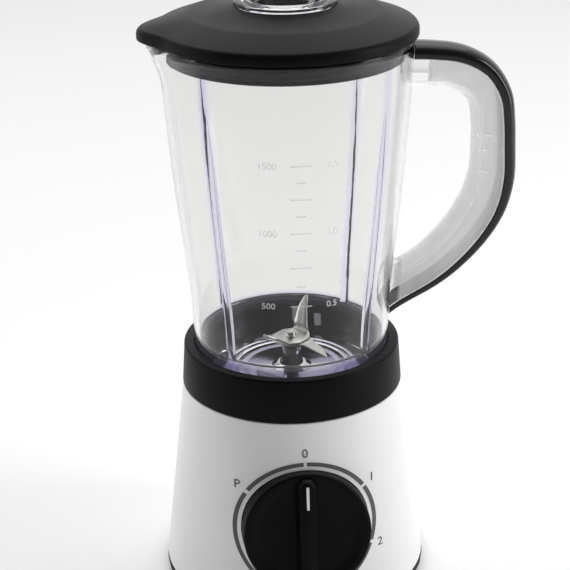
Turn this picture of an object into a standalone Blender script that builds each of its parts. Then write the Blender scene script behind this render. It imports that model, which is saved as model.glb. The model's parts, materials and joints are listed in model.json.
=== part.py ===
"""Countertop blender: a motor base with one dial, a clear jar with a blade unit, a lid and its cap.

Metres, +Z up along the motor's axis. The origin is the centre of the bottom plate's underside; the
dial faces -Y and the jar's handle is at +X.
"""

import math

import bmesh
import bpy
from mathutils import Matrix, Vector

MM = 0.001

# Overall sizes
BASE_HEIGHT = 122 * MM
BASE_RADIUS = 80.3 * MM
BASE_TOP_RADIUS = 65.8 * MM
COLLAR_HEIGHT = 26 * MM
JAR_HEIGHT = 184 * MM
JAR_FLOOR_DEPTH = 20 * MM

# Shared clearances and walls
GAP = 0.3 * MM
SLIP = 0.5 * MM
BASE_WALL = 2.5 * MM
PLATE_THICKNESS = 3 * MM
BUSH_PLAY = 0.07 * MM

# Collar well
WELL_DEPTH = 44 * MM
SEAT_THICKNESS = 2.5 * MM
WELL_WALL = 2.2 * MM
COUPLING_HOLE_RADIUS = 15 * MM
COLLAR_RIM = 5.9 * MM

# Jar
JAR_DECK_RADIUS = 57.6 * MM
JAR_FOOT_INSET = 0.8 * MM
# The jar swells outwards with height: (share of its height, swell beyond its radius at the deck)
JAR_SWELL = (
    (0.166, 1.3 * MM),
    (0.323, 4.4 * MM),
    (0.49, 7.6 * MM),
    (0.656, 10.3 * MM),
    (0.813, 12.5 * MM),
    (1.0, 14.2 * MM),
)
JAR_WALL = 3.1 * MM
JAR_FLOOR = 5 * MM
JAR_SKIRT_WALL = 3.3 * MM
JAR_FLOOR_FILLET = 6 * MM
LEDGE_HEIGHT = 4.5 * MM
LEDGE_WIDTH = 3.5 * MM
RIB_WIDTH = 4 * MM
RIB_DEPTH = 3 * MM
RIB_ANGLES = (45, 135, 225, 315)
RIB_SINK = 1.5 * MM
RIB_TOP = 150 * MM
SPOUT_REACH = 9 * MM
SPOUT_HALF_ANGLE = 24
SPOUT_DROP = 24 * MM

# Handle: its parting line, as (distance beyond the jar's radius at the deck, height above the deck)
HANDLE_LINE = (
    (-7.6 * MM, 13 * MM),
    (4.4 * MM, 22.5 * MM),
    (26.9 * MM, 35.5 * MM),
    (42.4 * MM, 48.5 * MM),
    (54.9 * MM, 63.5 * MM),
    (62.9 * MM, 79 * MM),
    (66.2 * MM, 96 * MM),
    (66 * MM, 114 * MM),
    (64.4 * MM, 130 * MM),
    (61.9 * MM, 144 * MM),
    (54.9 * MM, 157 * MM),
    (41.4 * MM, 165 * MM),
    (24.4 * MM, 168 * MM),
    (4.4 * MM, 169 * MM),
)
HANDLE_WIDTH = 22 * MM
CHANNEL_DEPTH = 17 * MM
CHANNEL_WALL = 2.6 * MM
COVER_DEPTH = 8.5 * MM
COVER_END_DEPTH = 5 * MM
CAVITY_START = 0.2
CAVITY_END = 0.84

# Lid and cap
LID_OVERHANG = 2.4 * MM
LID_RISE = 17 * MM
LID_PLUG_DEPTH = 12 * MM
LID_PLUG_CLEARANCE = 2.4 * MM
CAP_RADIUS = 24.1 * MM
CAP_FLANGE = 5 * MM
CAP_RISE = 20 * MM

# Blade unit
BLADE_SHAFT_RADIUS = 4 * MM
BLADE_STUD_RADIUS = 2.5 * MM
HOUSING_RADIUS = 8 * MM
HOUSING_BORE = 6.5 * MM
FLOOR_HOLE_RADIUS = 15.7 * MM
DISH_INSET = 12.6 * MM
BLADE_HEIGHT = 19.2 * MM
BLADE_THICKNESS = 1.2 * MM
BLADE_ROOT = 10 * MM

# Coupling
DOG_COUNT = 6
DOG_RADIUS = 12.2 * MM
DOG_ROOT_RADIUS = 8.8 * MM
DOG_CLEARANCE = 0.9 * MM
CUP_RADIUS = 17.5 * MM

# Motor
MOTOR_SHAFT_RADIUS = 4 * MM
BEARING_RADIUS = 8 * MM
BRACKET_THICKNESS = 6 * MM
STATOR_SIZE = (70 * MM, 58 * MM)
STATOR_BORE = 17.6 * MM
STATOR_BOTTOM = 54 * MM
STATOR_DROP = 22 * MM
ARMATURE_RADIUS = 17 * MM
WINDING_RADIUS = 13 * MM
WINDING_OVERHANG = 7 * MM
COIL_RADIUS = 3.2 * MM
FAN_RADIUS = 24.5 * MM
MOUNT_RADIUS = 4.5 * MM
BOLT_RADIUS = 2 * MM
BOLT_PLACE = (30 * MM, 22 * MM)
MOUNT_PLACE = (29 * MM, 9.5 * MM)

# Dial
DIAL_RADIUS = 37.2 * MM
DIAL_DROP = 47.6 * MM
DIAL_RECESS = 14 * MM
DIAL_FACE = 5 * MM
DIAL_GRIP_HEIGHT = 10 * MM
DIAL_GRIP_WIDTH = 13 * MM
SPINDLE_RADIUS = 3 * MM

# Feet, screws, gland and interlock
FOOT_RADIUS = 9 * MM
FOOT_DROP = 3 * MM
FOOT_CIRCLE = 58 * MM
SCREW_RADIUS = 1.9 * MM
SCREW_HEAD = 3.8 * MM
SCREW_CIRCLE = 71.5 * MM
SCREW_BOSS = 4.8 * MM
SCREW_BOSS_HEIGHT = 16 * MM
VENT_WIDTH = 3.5 * MM
VENT_LENGTH = 24 * MM
VENT_START = 11 * MM
VENT_ROWS = 3
GLAND_HEIGHT = 17 * MM
GLAND_BORE = 3.75 * MM
GLAND_RADIUS = 5.6 * MM
PIN_RADIUS = 1.8 * MM
PIN_INSET = 1.7 * MM
PIN_LENGTH = 21 * MM
PIN_FLANGE_DROP = 8 * MM
SPRING_TURNS = 5
SPRING_RADIUS = 3 * MM
SPRING_WIRE = 0.5 * MM

FINE = 36
MEDIUM = 24
COARSE = 16

# Levels worked out from the sizes above
DECK = BASE_HEIGHT + COLLAR_HEIGHT
SEAT = DECK - WELL_DEPTH
JAR_BOTTOM = SEAT + GAP
JAR_INSIDE = DECK - JAR_FLOOR_DEPTH
FLOOR_UNDER = JAR_INSIDE - JAR_FLOOR
RIM = DECK + JAR_HEIGHT
DISH_TOP = JAR_INSIDE + GAP + 1 * MM
HOUSING_TOP = DISH_TOP + GAP + 2 * MM
BLADE_LEVEL = JAR_INSIDE + BLADE_HEIGHT
STATOR_TOP = SEAT - STATOR_DROP
STATOR_STACK = STATOR_TOP - STATOR_BOTTOM
JAR_FOOT_RADIUS = JAR_DECK_RADIUS - JAR_FOOT_INSET
WELL_RADIUS = JAR_DECK_RADIUS + SLIP
COLLAR_TOP_RADIUS = WELL_RADIUS + COLLAR_RIM
LID_RADIUS = JAR_DECK_RADIUS + JAR_SWELL[-1][1] + LID_OVERHANG
DISH_RADIUS = JAR_DECK_RADIUS - DISH_INSET
PIN_CIRCLE = JAR_FOOT_RADIUS - PIN_INSET
BLADE_BUSH_BORE = BLADE_SHAFT_RADIUS + BUSH_PLAY
MOTOR_BUSH_BORE = MOTOR_SHAFT_RADIUS + BUSH_PLAY
BASE_SLOPE = (BASE_RADIUS - BASE_TOP_RADIUS) / BASE_HEIGHT
DIAL_TILT = math.atan(BASE_SLOPE)
DIAL_HEIGHT = SEAT - DIAL_DROP

FINISHES = {
    "white_plastic": ((0.85, 0.85, 0.84), 0.35, 0.0),
    "black_plastic": ((0.02, 0.02, 0.02), 0.4, 0.0),
    "clear_plastic": ((0.85, 0.86, 0.9), 0.05, 0.0),
    "rubber": ((0.03, 0.03, 0.03), 0.8, 0.0),
    "steel": ((0.6, 0.6, 0.58), 0.3, 1.0),
    "copper": ((0.72, 0.36, 0.18), 0.4, 1.0),
    "bronze": ((0.5, 0.34, 0.16), 0.45, 1.0),
    "carbon": ((0.04, 0.04, 0.045), 0.7, 0.0),
    "board": ((0.05, 0.2, 0.08), 0.5, 0.0),
    "nylon": ((0.75, 0.73, 0.68), 0.5, 0.0),
}


# ---------------------------------------------------------------- scene and materials


def start_scene():
    """Clears the scene and makes the collections for the parts and their cutters."""
    for obj in list(bpy.data.objects):
        bpy.data.objects.remove(obj, do_unlink=True)
    collections = {}
    for name in ("countertop_blender", "cutters"):
        collections[name] = bpy.data.collections.new(name)
        bpy.context.scene.collection.children.link(collections[name])
    return collections


COLLECTIONS = start_scene()


def finish_material(name, finish):
    colour, roughness, metallic = FINISHES[finish]
    material = bpy.data.materials.new(name)
    material.use_nodes = True
    shader = material.node_tree.nodes["Principled BSDF"]
    shader.inputs["Base Color"].default_value = (*colour, 1.0)
    shader.inputs["Roughness"].default_value = roughness
    shader.inputs["Metallic"].default_value = metallic
    return material


def add_object(name, data, finish):
    """Links a new part, or a cutter where there is no finish."""
    obj = bpy.data.objects.new(name, data)
    if finish:
        COLLECTIONS["countertop_blender"].objects.link(obj)
        data.materials.append(finish_material(name, finish))
    else:
        COLLECTIONS["cutters"].objects.link(obj)
        obj.hide_render = True
        obj.display_type = "WIRE"
    return obj


# ---------------------------------------------------------------- outlines


def circle(radius, sides, centre=(0.0, 0.0)):
    """Points round a circle."""
    turn = 2 * math.pi / sides
    return [
        (centre[0] + radius * math.cos(turn * i), centre[1] + radius * math.sin(turn * i))
        for i in range(sides)
    ]


def rounded_rectangle(width, depth, radius, segments=4):
    """Points round a rectangle with arcs at its corners."""
    points = []
    for quarter, (side_x, side_y) in enumerate(((1, 1), (-1, 1), (-1, -1), (1, -1))):
        centre_x = side_x * (width / 2 - radius)
        centre_y = side_y * (depth / 2 - radius)
        for step in range(segments + 1):
            angle = (quarter + step / segments) * math.pi / 2
            points.append((centre_x + radius * math.cos(angle), centre_y + radius * math.sin(angle)))
    return points


def toothed(outer, inner, count, tooth_share, flank_share=0.0):
    """Points round a wheel: each tooth is a flat at the outer radius, each gap one at the inner."""
    pitch = 2 * math.pi / count
    points = []
    for tooth in range(count):
        middle = tooth * pitch
        half = pitch * tooth_share / 2
        flank = pitch * flank_share
        for radius, angle in (
            (inner, middle - half - flank),
            (outer, middle - half),
            (outer, middle),
            (outer, middle + half),
            (inner, middle + half + flank),
        ):
            points.append((radius * math.cos(angle), radius * math.sin(angle)))
    return points


def fillet(outline, radii, segments=3):
    """Replaces the corners that radii names, by their place in the outline, with arcs."""
    points = []
    for index, corner in enumerate(outline):
        if index not in radii:
            points.append(corner)
            continue
        here = Vector(corner)
        before = (Vector(outline[index - 1]) - here).normalized()
        after = (Vector(outline[(index + 1) % len(outline)]) - here).normalized()
        half = before.angle(after) / 2
        centre = here + (before + after).normalized() * radii[index] / math.sin(half)
        start = here + before * radii[index] / math.tan(half) - centre
        end = here + after * radii[index] / math.tan(half) - centre
        sweep = start.angle_signed(end)
        for step in range(segments + 1):
            points.append(tuple(centre + Matrix.Rotation(-sweep * step / segments, 2) @ start))
    return points


def smooth_line(points, steps):
    """A Catmull-Rom line through the points, with so many steps between each two."""
    path = [Vector(p) for p in points]
    ends = [2 * path[0] - path[1], *path, 2 * path[-1] - path[-2]]
    line = []
    for i in range(1, len(ends) - 2):
        a, b, c, d = ends[i - 1 : i + 3]
        for step in range(steps):
            t = step / steps
            linear = (c - a) * t
            square = (2 * a - 5 * b + 4 * c - d) * t**2
            cube = (3 * b - a - 3 * c + d) * t**3
            line.append(b + 0.5 * (linear + square + cube))
    line.append(path[-1])
    return line


def offset_line(line, distance):
    """Moves each point of a line to its right by distance(share of the way along)."""
    moved = []
    for i, point in enumerate(line):
        along = (line[min(i + 1, len(line) - 1)] - line[max(i - 1, 0)]).normalized()
        side = Vector((along.y, -along.x))
        moved.append(point + side * distance(i / (len(line) - 1)))
    return moved


# ---------------------------------------------------------------- solids


def turned(name, outline, finish, sides=COARSE):
    """A solid of revolution about +Z. The outline runs outwards along the top, then down and back."""
    mesh = bpy.data.meshes.new(name)
    count = len(outline)
    edges = [(i, i + 1) for i in range(count - 1)]
    if outline[0][0] > 0:
        edges.append((count - 1, 0))
    mesh.from_pydata([(r, 0.0, z) for r, z in outline], edges, [])
    obj = add_object(name, mesh, finish)
    screw = obj.modifiers.new("Turn", "SCREW")
    screw.steps = sides
    screw.render_steps = sides
    screw.use_merge_vertices = True
    screw.merge_threshold = 0.00001
    screw.use_smooth_shade = True
    return obj


def plate(name, loops, thickness, bottom, finish):
    """A flat outline, with holes where a loop lies inside another, extruded up from the bottom level."""
    curve = bpy.data.curves.new(name, "CURVE")
    curve.dimensions = "2D"
    curve.fill_mode = "BOTH"
    curve.extrude = thickness / 2
    for loop in loops:
        spline = curve.splines.new("POLY")
        spline.points.add(len(loop) - 1)
        spline.use_cyclic_u = True
        for point, place in zip(spline.points, loop):
            point.co = (place[0], place[1], 0.0, 1.0)
    obj = add_object(name, curve, finish)
    obj.location.z = bottom + thickness / 2
    return as_mesh(obj)


def tube(name, points, radius, finish, closed=False, resolution=2):
    """A round bar along a line of points."""
    curve = bpy.data.curves.new(name, "CURVE")
    curve.dimensions = "3D"
    curve.bevel_depth = radius
    curve.bevel_resolution = resolution
    curve.use_fill_caps = not closed
    spline = curve.splines.new("POLY")
    spline.points.add(len(points) - 1)
    spline.use_cyclic_u = closed
    for point, place in zip(spline.points, points):
        point.co = (*place, 1.0)
    return as_mesh(add_object(name, curve, finish))


def block(name, size, centre, finish):
    """A box from its size and centre."""
    mesh = bpy.data.meshes.new(name)
    shape = bmesh.new()
    bmesh.ops.create_cube(shape, size=1.0, matrix=Matrix.Diagonal((*size, 1.0)))
    shape.to_mesh(mesh)
    shape.free()
    obj = add_object(name, mesh, finish)
    obj.location = centre
    return obj


def as_mesh(obj):
    """Turns a curve, or an object with modifiers, into a plain welded mesh object of the same name."""
    bpy.context.view_layer.update()
    graph = bpy.context.evaluated_depsgraph_get()
    mesh = bpy.data.meshes.new_from_object(obj.evaluated_get(graph))
    shape = bmesh.new()
    shape.from_mesh(mesh)
    bmesh.ops.remove_doubles(shape, verts=shape.verts, dist=0.000001)
    bmesh.ops.recalc_face_normals(shape, faces=shape.faces)
    shape.to_mesh(mesh)
    shape.free()
    name = obj.name
    place = obj.matrix_world.copy()
    home = obj.users_collection[0]
    hidden = obj.hide_render
    bpy.data.objects.remove(obj, do_unlink=True)
    solid = bpy.data.objects.new(name, mesh)
    home.objects.link(solid)
    solid.matrix_world = place
    solid.hide_render = hidden
    solid.display_type = "WIRE" if hidden else "TEXTURED"
    return solid


def joined_cutter(name, tools):
    """One cutter made of several separate solids."""
    mesh = bpy.data.meshes.new(name)
    shape = bmesh.new()
    for tool in tools:
        solid = as_mesh(tool)
        solid.data.transform(solid.matrix_world)
        shape.from_mesh(solid.data)
        bpy.data.objects.remove(solid, do_unlink=True)
    shape.to_mesh(mesh)
    shape.free()
    return add_object(name, mesh, None)


def combine(target, tool, operation):
    """Cuts with a tool, joins it on or keeps what both share."""
    modifier = target.modifiers.new(tool.name, "BOOLEAN")
    modifier.operation = operation
    modifier.object = tool
    return target


def cylinder(name, radius, low, high, finish=None, sides=COARSE, place=(0.0, 0.0)):
    """A plain cylinder between two levels."""
    obj = turned(name, [(0.0, high), (radius, high), (radius, low), (0.0, low)], finish, sides)
    obj.location.x, obj.location.y = place
    return obj


def stand_on_front(obj):
    """Turns an object made about +Z so that it lies on the base's front slope, +Z outwards."""
    obj.parent = bpy.data.objects["dial_axis"]
    return obj


# ---------------------------------------------------------------- base


def cone_radius(height):
    return BASE_TOP_RADIUS + (BASE_HEIGHT - height) * BASE_SLOPE


def make_dial_axis():
    """An empty on the front slope, with its Z axis along the dial's spindle."""
    axis = bpy.data.objects.new("dial_axis", None)
    COLLECTIONS["countertop_blender"].objects.link(axis)
    axis.location = (0.0, -cone_radius(DIAL_HEIGHT), DIAL_HEIGHT)
    axis.rotation_euler.x = math.pi / 2 - DIAL_TILT
    bpy.context.view_layer.update()


def make_base_housing():
    """The white cone, with a cup for the dial, four screw bosses and a hole for the cord gland."""
    low = PLATE_THICKNESS + GAP
    opening = WELL_RADIUS + WELL_WALL + GAP
    outline = [
        (opening, BASE_HEIGHT),
        (BASE_TOP_RADIUS, BASE_HEIGHT),
        (cone_radius(low), low),
        (cone_radius(low) - BASE_WALL, low),
        (BASE_TOP_RADIUS - BASE_WALL, BASE_HEIGHT - BASE_WALL),
        (opening, BASE_HEIGHT - BASE_WALL),
    ]
    housing = turned("base_housing", outline, "white_plastic", FINE)
    inside = [
        (0.0, BASE_HEIGHT - GAP),
        (BASE_TOP_RADIUS - GAP, BASE_HEIGHT - GAP),
        (cone_radius(low) - GAP, low + GAP),
        (0.0, low + GAP),
    ]
    cup_floor = -DIAL_RECESS - BASE_WALL
    cup = cylinder("dial_cup", DIAL_RADIUS + SLIP + BASE_WALL, cup_floor, DIAL_RECESS, None, FINE)
    stand_on_front(cup)
    combine(cup, turned("housing_inside", inside, None, FINE), "INTERSECT")
    combine(housing, cup, "UNION")
    recess = cylinder("dial_recess", DIAL_RADIUS + SLIP, -DIAL_RECESS, 2 * DIAL_RECESS, None, FINE)
    combine(housing, stand_on_front(recess), "DIFFERENCE")
    hole = cylinder("spindle_hole", SPINDLE_RADIUS + GAP, 1.5 * cup_floor, 0.0)
    combine(housing, stand_on_front(hole), "DIFFERENCE")
    bosses = [
        cylinder(f"boss_{i}", SCREW_BOSS, low + GAP, low + SCREW_BOSS_HEIGHT, place=place)
        for i, place in enumerate(screw_places())
    ]
    combine(housing, joined_cutter("screw_bosses", bosses), "UNION")
    holes = [
        cylinder(f"pilot_{i}", SCREW_RADIUS + GAP, 0.0, low + SCREW_BOSS_HEIGHT - BASE_WALL, place=place)
        for i, place in enumerate(screw_places())
    ]
    combine(housing, joined_cutter("screw_pilots", holes), "DIFFERENCE")
    gland_hole = cylinder("gland_hole", GLAND_RADIUS + GAP, 0.8 * BASE_RADIUS, 1.2 * BASE_RADIUS)
    point_backwards(gland_hole)
    combine(housing, gland_hole, "DIFFERENCE")


def point_backwards(obj):
    """Lays an object made about +Z along +Y, at the cord gland's height."""
    obj.rotation_euler.x = -math.pi / 2
    obj.location.z = GLAND_HEIGHT


def make_base_collar():
    """The black ring, with the well that the jar stands in and a hole for the coupling."""
    well_outer = WELL_RADIUS + WELL_WALL
    outline = [
        (COUPLING_HOLE_RADIUS, SEAT),
        (WELL_RADIUS, SEAT),
        (WELL_RADIUS, DECK),
        (COLLAR_TOP_RADIUS, DECK),
        (BASE_TOP_RADIUS, BASE_HEIGHT + GAP),
        (well_outer, BASE_HEIGHT + GAP),
        (well_outer, SEAT - SEAT_THICKNESS),
        (COUPLING_HOLE_RADIUS, SEAT - SEAT_THICKNESS),
    ]
    collar = turned("base_collar", fillet(outline, {2: 1 * MM, 3: 1.5 * MM}), "black_plastic", FINE)
    below = SEAT - 2 * SEAT_THICKNESS
    hole = cylinder("pin_hole", PIN_RADIUS + GAP, below, SEAT + SEAT_THICKNESS, place=(0, PIN_CIRCLE))
    combine(collar, hole, "DIFFERENCE")


def screw_places():
    return circle_places(SCREW_CIRCLE)


def circle_places(radius):
    """Four places between the front, the sides and the back."""
    angles = [math.radians(45 + 90 * i) for i in range(4)]
    return [(radius * math.cos(a), radius * math.sin(a)) for a in angles]


def make_bottom_plate():
    """The flat plate that closes the base, with its vents and screw holes."""
    loops = [circle(cone_radius(0.0) - GAP, FINE)]
    loops += [circle(SCREW_RADIUS + GAP, 12, place) for place in screw_places()]
    slot = rounded_rectangle(VENT_LENGTH, VENT_WIDTH, VENT_WIDTH / 2 - 0.05 * MM, 3)
    for side in (-1, 1):
        for row in range(VENT_ROWS):
            shift = side * (VENT_START + row * 2 * VENT_WIDTH)
            loops.append([(x, y + shift) for x, y in slot])
    plate("bottom_plate", loops, PLATE_THICKNESS, 0.0, "black_plastic")


def make_feet_and_screws():
    head = FOOT_DROP - 1 * MM
    screw_outline = [
        (0.0, SCREW_BOSS_HEIGHT),
        (SCREW_RADIUS, SCREW_BOSS_HEIGHT),
        (SCREW_RADIUS, -GAP),
        (SCREW_HEAD, -GAP),
        (SCREW_HEAD * 0.8, -head),
        (0.0, -head),
    ]
    foot_outline = [
        (0.0, -GAP),
        (FOOT_RADIUS, -GAP),
        (FOOT_RADIUS - 0.5 * MM, -FOOT_DROP),
        (0.0, -FOOT_DROP),
    ]
    for i, (screw_place, foot_place) in enumerate(zip(screw_places(), circle_places(FOOT_CIRCLE)), 1):
        screw = turned(f"plate_screw_{i}", screw_outline, "steel", 12)
        screw.location = (*screw_place, 0.0)
        foot = turned(f"foot_{i}", foot_outline, "rubber", COARSE)
        foot.location = (*foot_place, 0.0)


def make_cord_gland():
    """A flanged bushing through the housing's back wall."""
    wall = cone_radius(GLAND_HEIGHT)
    flange = 2 * MM
    inner = wall - BASE_WALL - 2 * MM
    outer = wall + 1 * MM
    outline = [
        (GLAND_BORE, outer + flange),
        (GLAND_RADIUS + flange, outer + flange),
        (GLAND_RADIUS + flange, outer),
        (GLAND_RADIUS, outer),
        (GLAND_RADIUS, inner),
        (GLAND_BORE, inner),
    ]
    point_backwards(turned("cord_gland", outline, "rubber", COARSE))


# ---------------------------------------------------------------- dial


def make_dial():
    """The knob in its recess, its grip, its spindle and the switch behind it."""
    low = -DIAL_RECESS + SLIP
    outline = [
        (0.0, DIAL_FACE - 1 * MM),
        (DIAL_RADIUS - 6 * MM, DIAL_FACE),
        (DIAL_RADIUS, DIAL_FACE),
        (DIAL_RADIUS, low),
        (0.0, low),
    ]
    knob = turned("control_dial", fillet(outline, {2: 2 * MM}), "black_plastic", FINE)
    grip_length = 2 * DIAL_RADIUS - 6 * MM
    grip_loop = rounded_rectangle(DIAL_GRIP_WIDTH, grip_length, DIAL_GRIP_WIDTH / 2 - 0.05 * MM, 5)
    grip = plate("dial_grip", [grip_loop], DIAL_GRIP_HEIGHT, 0.0, None)
    combine(stand_on_front(knob), stand_on_front(grip), "UNION")
    switch_top = -DIAL_RECESS - BASE_WALL - GAP
    switch_depth = 13 * MM
    spindle = cylinder("dial_spindle", SPINDLE_RADIUS, switch_top - 4 * MM, low - GAP, "nylon")
    stand_on_front(spindle)
    body = cylinder("rotary_switch", 14 * MM, switch_top - switch_depth, switch_top, "black_plastic")
    stand_on_front(body)
    bore = cylinder("switch_bore", SPINDLE_RADIUS + GAP, switch_top - 5 * MM, switch_top + 5 * MM)
    combine(body, stand_on_front(bore), "DIFFERENCE")


# ---------------------------------------------------------------- motor


def bracket_bottoms():
    """Underside levels of the lower and the upper bracket."""
    return (23.5 * MM, STATOR_TOP + WINDING_OVERHANG + 1.5 * MM)


def bolt_places():
    x, y = BOLT_PLACE
    return [(x, y), (-x, -y)]


def make_brackets_and_bearings():
    bearing = [
        (MOTOR_BUSH_BORE, BRACKET_THICKNESS),
        (BEARING_RADIUS, BRACKET_THICKNESS),
        (BEARING_RADIUS, 0.0),
        (MOTOR_BUSH_BORE, 0.0),
    ]
    for name, bottom in zip(("lower", "upper"), bracket_bottoms()):
        loops = [rounded_rectangle(*STATOR_SIZE, 8 * MM), circle(BEARING_RADIUS + GAP, COARSE)]
        loops += [circle(BOLT_RADIUS + GAP, 10, place) for place in bolt_places()]
        plate(f"{name}_bracket", loops, BRACKET_THICKNESS, bottom, "steel")
        ring = turned(f"{name}_bearing", bearing, "bronze", 24)
        ring.location.z = bottom


def make_stator():
    """The lamination stack: a round bore with a window on each side for the coils."""
    window_x = 26.5 * MM
    window_y = 9 * MM
    corner = math.asin(window_y / STATOR_BORE)
    bore = []
    for side in (0, math.pi):
        for x, y in ((window_x, -window_y), (window_x, window_y)):
            bore.append((x * math.cos(side) - y * math.sin(side), x * math.sin(side) + y * math.cos(side)))
        steps = 8
        for step in range(steps + 1):
            angle = side + corner + (math.pi - 2 * corner) * step / steps
            bore.append((STATOR_BORE * math.cos(angle), STATOR_BORE * math.sin(angle)))
    loops = [rounded_rectangle(*STATOR_SIZE, 8 * MM), bore]
    loops += [circle(BOLT_RADIUS + GAP, 10, place) for place in bolt_places()]
    plate("motor_stator", loops, STATOR_STACK, STATOR_BOTTOM, "steel")


def make_field_coils():
    """One closed loop round each pole: two legs in the windows and two bowed end turns."""
    leg_x = 22 * MM
    leg_y = 4.6 * MM
    bow = 17.5 * MM
    low = STATOR_BOTTOM - COIL_RADIUS - 1 * MM
    high = STATOR_TOP + COIL_RADIUS + 1 * MM
    steps = 6
    for name, side in (("field_coil_front", -1), ("field_coil_rear", 1)):
        arc = [
            (leg_x * math.cos(math.pi * i / steps), side * (leg_y + bow * math.sin(math.pi * i / steps)))
            for i in range(steps + 1)
        ]
        points = [(x, y, high) for x, y in arc] + [(x, y, low) for x, y in reversed(arc)]
        tube(name, points, COIL_RADIUS, "copper", closed=True)


def make_armature():
    """The slotted core, its winding, the commutator and the motor shaft."""
    bore = MOTOR_SHAFT_RADIUS + GAP
    sleeve = 8 * MM
    core_loops = [toothed(ARMATURE_RADIUS, ARMATURE_RADIUS - 4 * MM, 12, 0.6), circle(sleeve + GAP, COARSE)]
    plate("armature_core", core_loops, STATOR_STACK, STATOR_BOTTOM, "steel")
    low = STATOR_BOTTOM - GAP
    high = STATOR_TOP + GAP
    winding = [
        (bore, high + WINDING_OVERHANG - 1 * MM),
        (WINDING_RADIUS - 2 * MM, high + WINDING_OVERHANG - 1 * MM),
        (WINDING_RADIUS, high + WINDING_OVERHANG / 2),
        (WINDING_RADIUS, high),
        (sleeve, high),
        (sleeve, low),
        (WINDING_RADIUS, low),
        (WINDING_RADIUS, low - WINDING_OVERHANG / 2),
        (WINDING_RADIUS - 2 * MM, low - WINDING_OVERHANG),
        (bore, low - WINDING_OVERHANG),
    ]
    turned("armature_winding", winding, "copper", COARSE)
    commutator_loops = [toothed(10.5 * MM, 9.5 * MM, 12, 0.7), circle(bore, COARSE)]
    plate("commutator", commutator_loops, 13 * MM, 32 * MM, "copper")
    cylinder("motor_shaft", MOTOR_SHAFT_RADIUS, 8 * MM, coupling_levels()[1] - 0.5 * MM, "steel", 24)


def make_brushes():
    """A carbon brush in a brass-coloured box on each side of the commutator."""
    side_length = 6.5 * MM
    start = 11.1 * MM
    length = 17 * MM
    level = 38 * MM
    for name, side in (("left", -1), ("right", 1)):
        middle = side * (start + length / 2)
        block(f"brush_{name}", (length, side_length, side_length), (middle, 0.0, level), "carbon")
        size = side_length + 2 * GAP
        loops = [
            rounded_rectangle(size + 3 * MM, size + 3 * MM, 1 * MM, 1),
            rounded_rectangle(size, size, 0.2 * MM, 1),
        ]
        holder = plate(f"brush_holder_{name}", loops, length - 2 * MM, 0.0, "bronze")
        turn = Matrix.Rotation(math.pi / 2, 4, "Y")
        shift = Matrix.Translation((side * (start + 1.5 * MM + length / 2) - length / 2 + 1 * MM, 0.0, level))
        holder.matrix_world = shift @ turn @ Matrix.Translation((0.0, 0.0, length / 2 - 1 * MM))


def make_fan():
    """A disc with eight straight vanes on the shaft's lower end."""
    disc = 1.6 * MM
    top = 19 * MM
    height = 10 * MM
    bore = MOTOR_SHAFT_RADIUS + GAP
    fan = cylinder("cooling_fan", FAN_RADIUS, top - disc, top, "nylon", MEDIUM)
    vane_loop = toothed(FAN_RADIUS - 0.5 * MM, 7 * MM, 8, 0.06, 0.14)
    vanes = plate("fan_vanes", [vane_loop], height - disc / 2, top - height, None)
    cut = cylinder("fan_bore", bore, 0.0, 2 * top)
    combine(combine(fan, vanes, "UNION"), cut, "DIFFERENCE")


def make_motor_fixings():
    lower, upper = bracket_bottoms()
    head = 2.5 * MM
    bolt_top = upper + BRACKET_THICKNESS + 1 * MM
    outline = [
        (0.0, bolt_top),
        (BOLT_RADIUS, bolt_top),
        (BOLT_RADIUS, lower - GAP),
        (2 * BOLT_RADIUS, lower - GAP),
        (2 * BOLT_RADIUS, lower - GAP - head),
        (0.0, lower - GAP - head),
    ]
    for i, place in enumerate(bolt_places(), 1):
        bolt = turned(f"motor_bolt_{i}", outline, "steel", 10)
        bolt.location = (*place, 0.0)
    x, y = MOUNT_PLACE
    for i, place in enumerate(((x, y), (-x, y), (-x, -y), (x, -y)), 1):
        cylinder(f"motor_mount_{i}", MOUNT_RADIUS, PLATE_THICKNESS + GAP, lower - GAP, "rubber", 12, place)
    seal = [
        (MOTOR_BUSH_BORE, upper + BRACKET_THICKNESS + 2.7 * MM),
        (7 * MM, upper + BRACKET_THICKNESS + 2.7 * MM),
        (7 * MM, upper + BRACKET_THICKNESS + GAP),
        (MOTOR_BUSH_BORE, upper + BRACKET_THICKNESS + GAP),
    ]
    turned("shaft_seal", seal, "rubber", 24)


# ---------------------------------------------------------------- interlock and electrics


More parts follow.
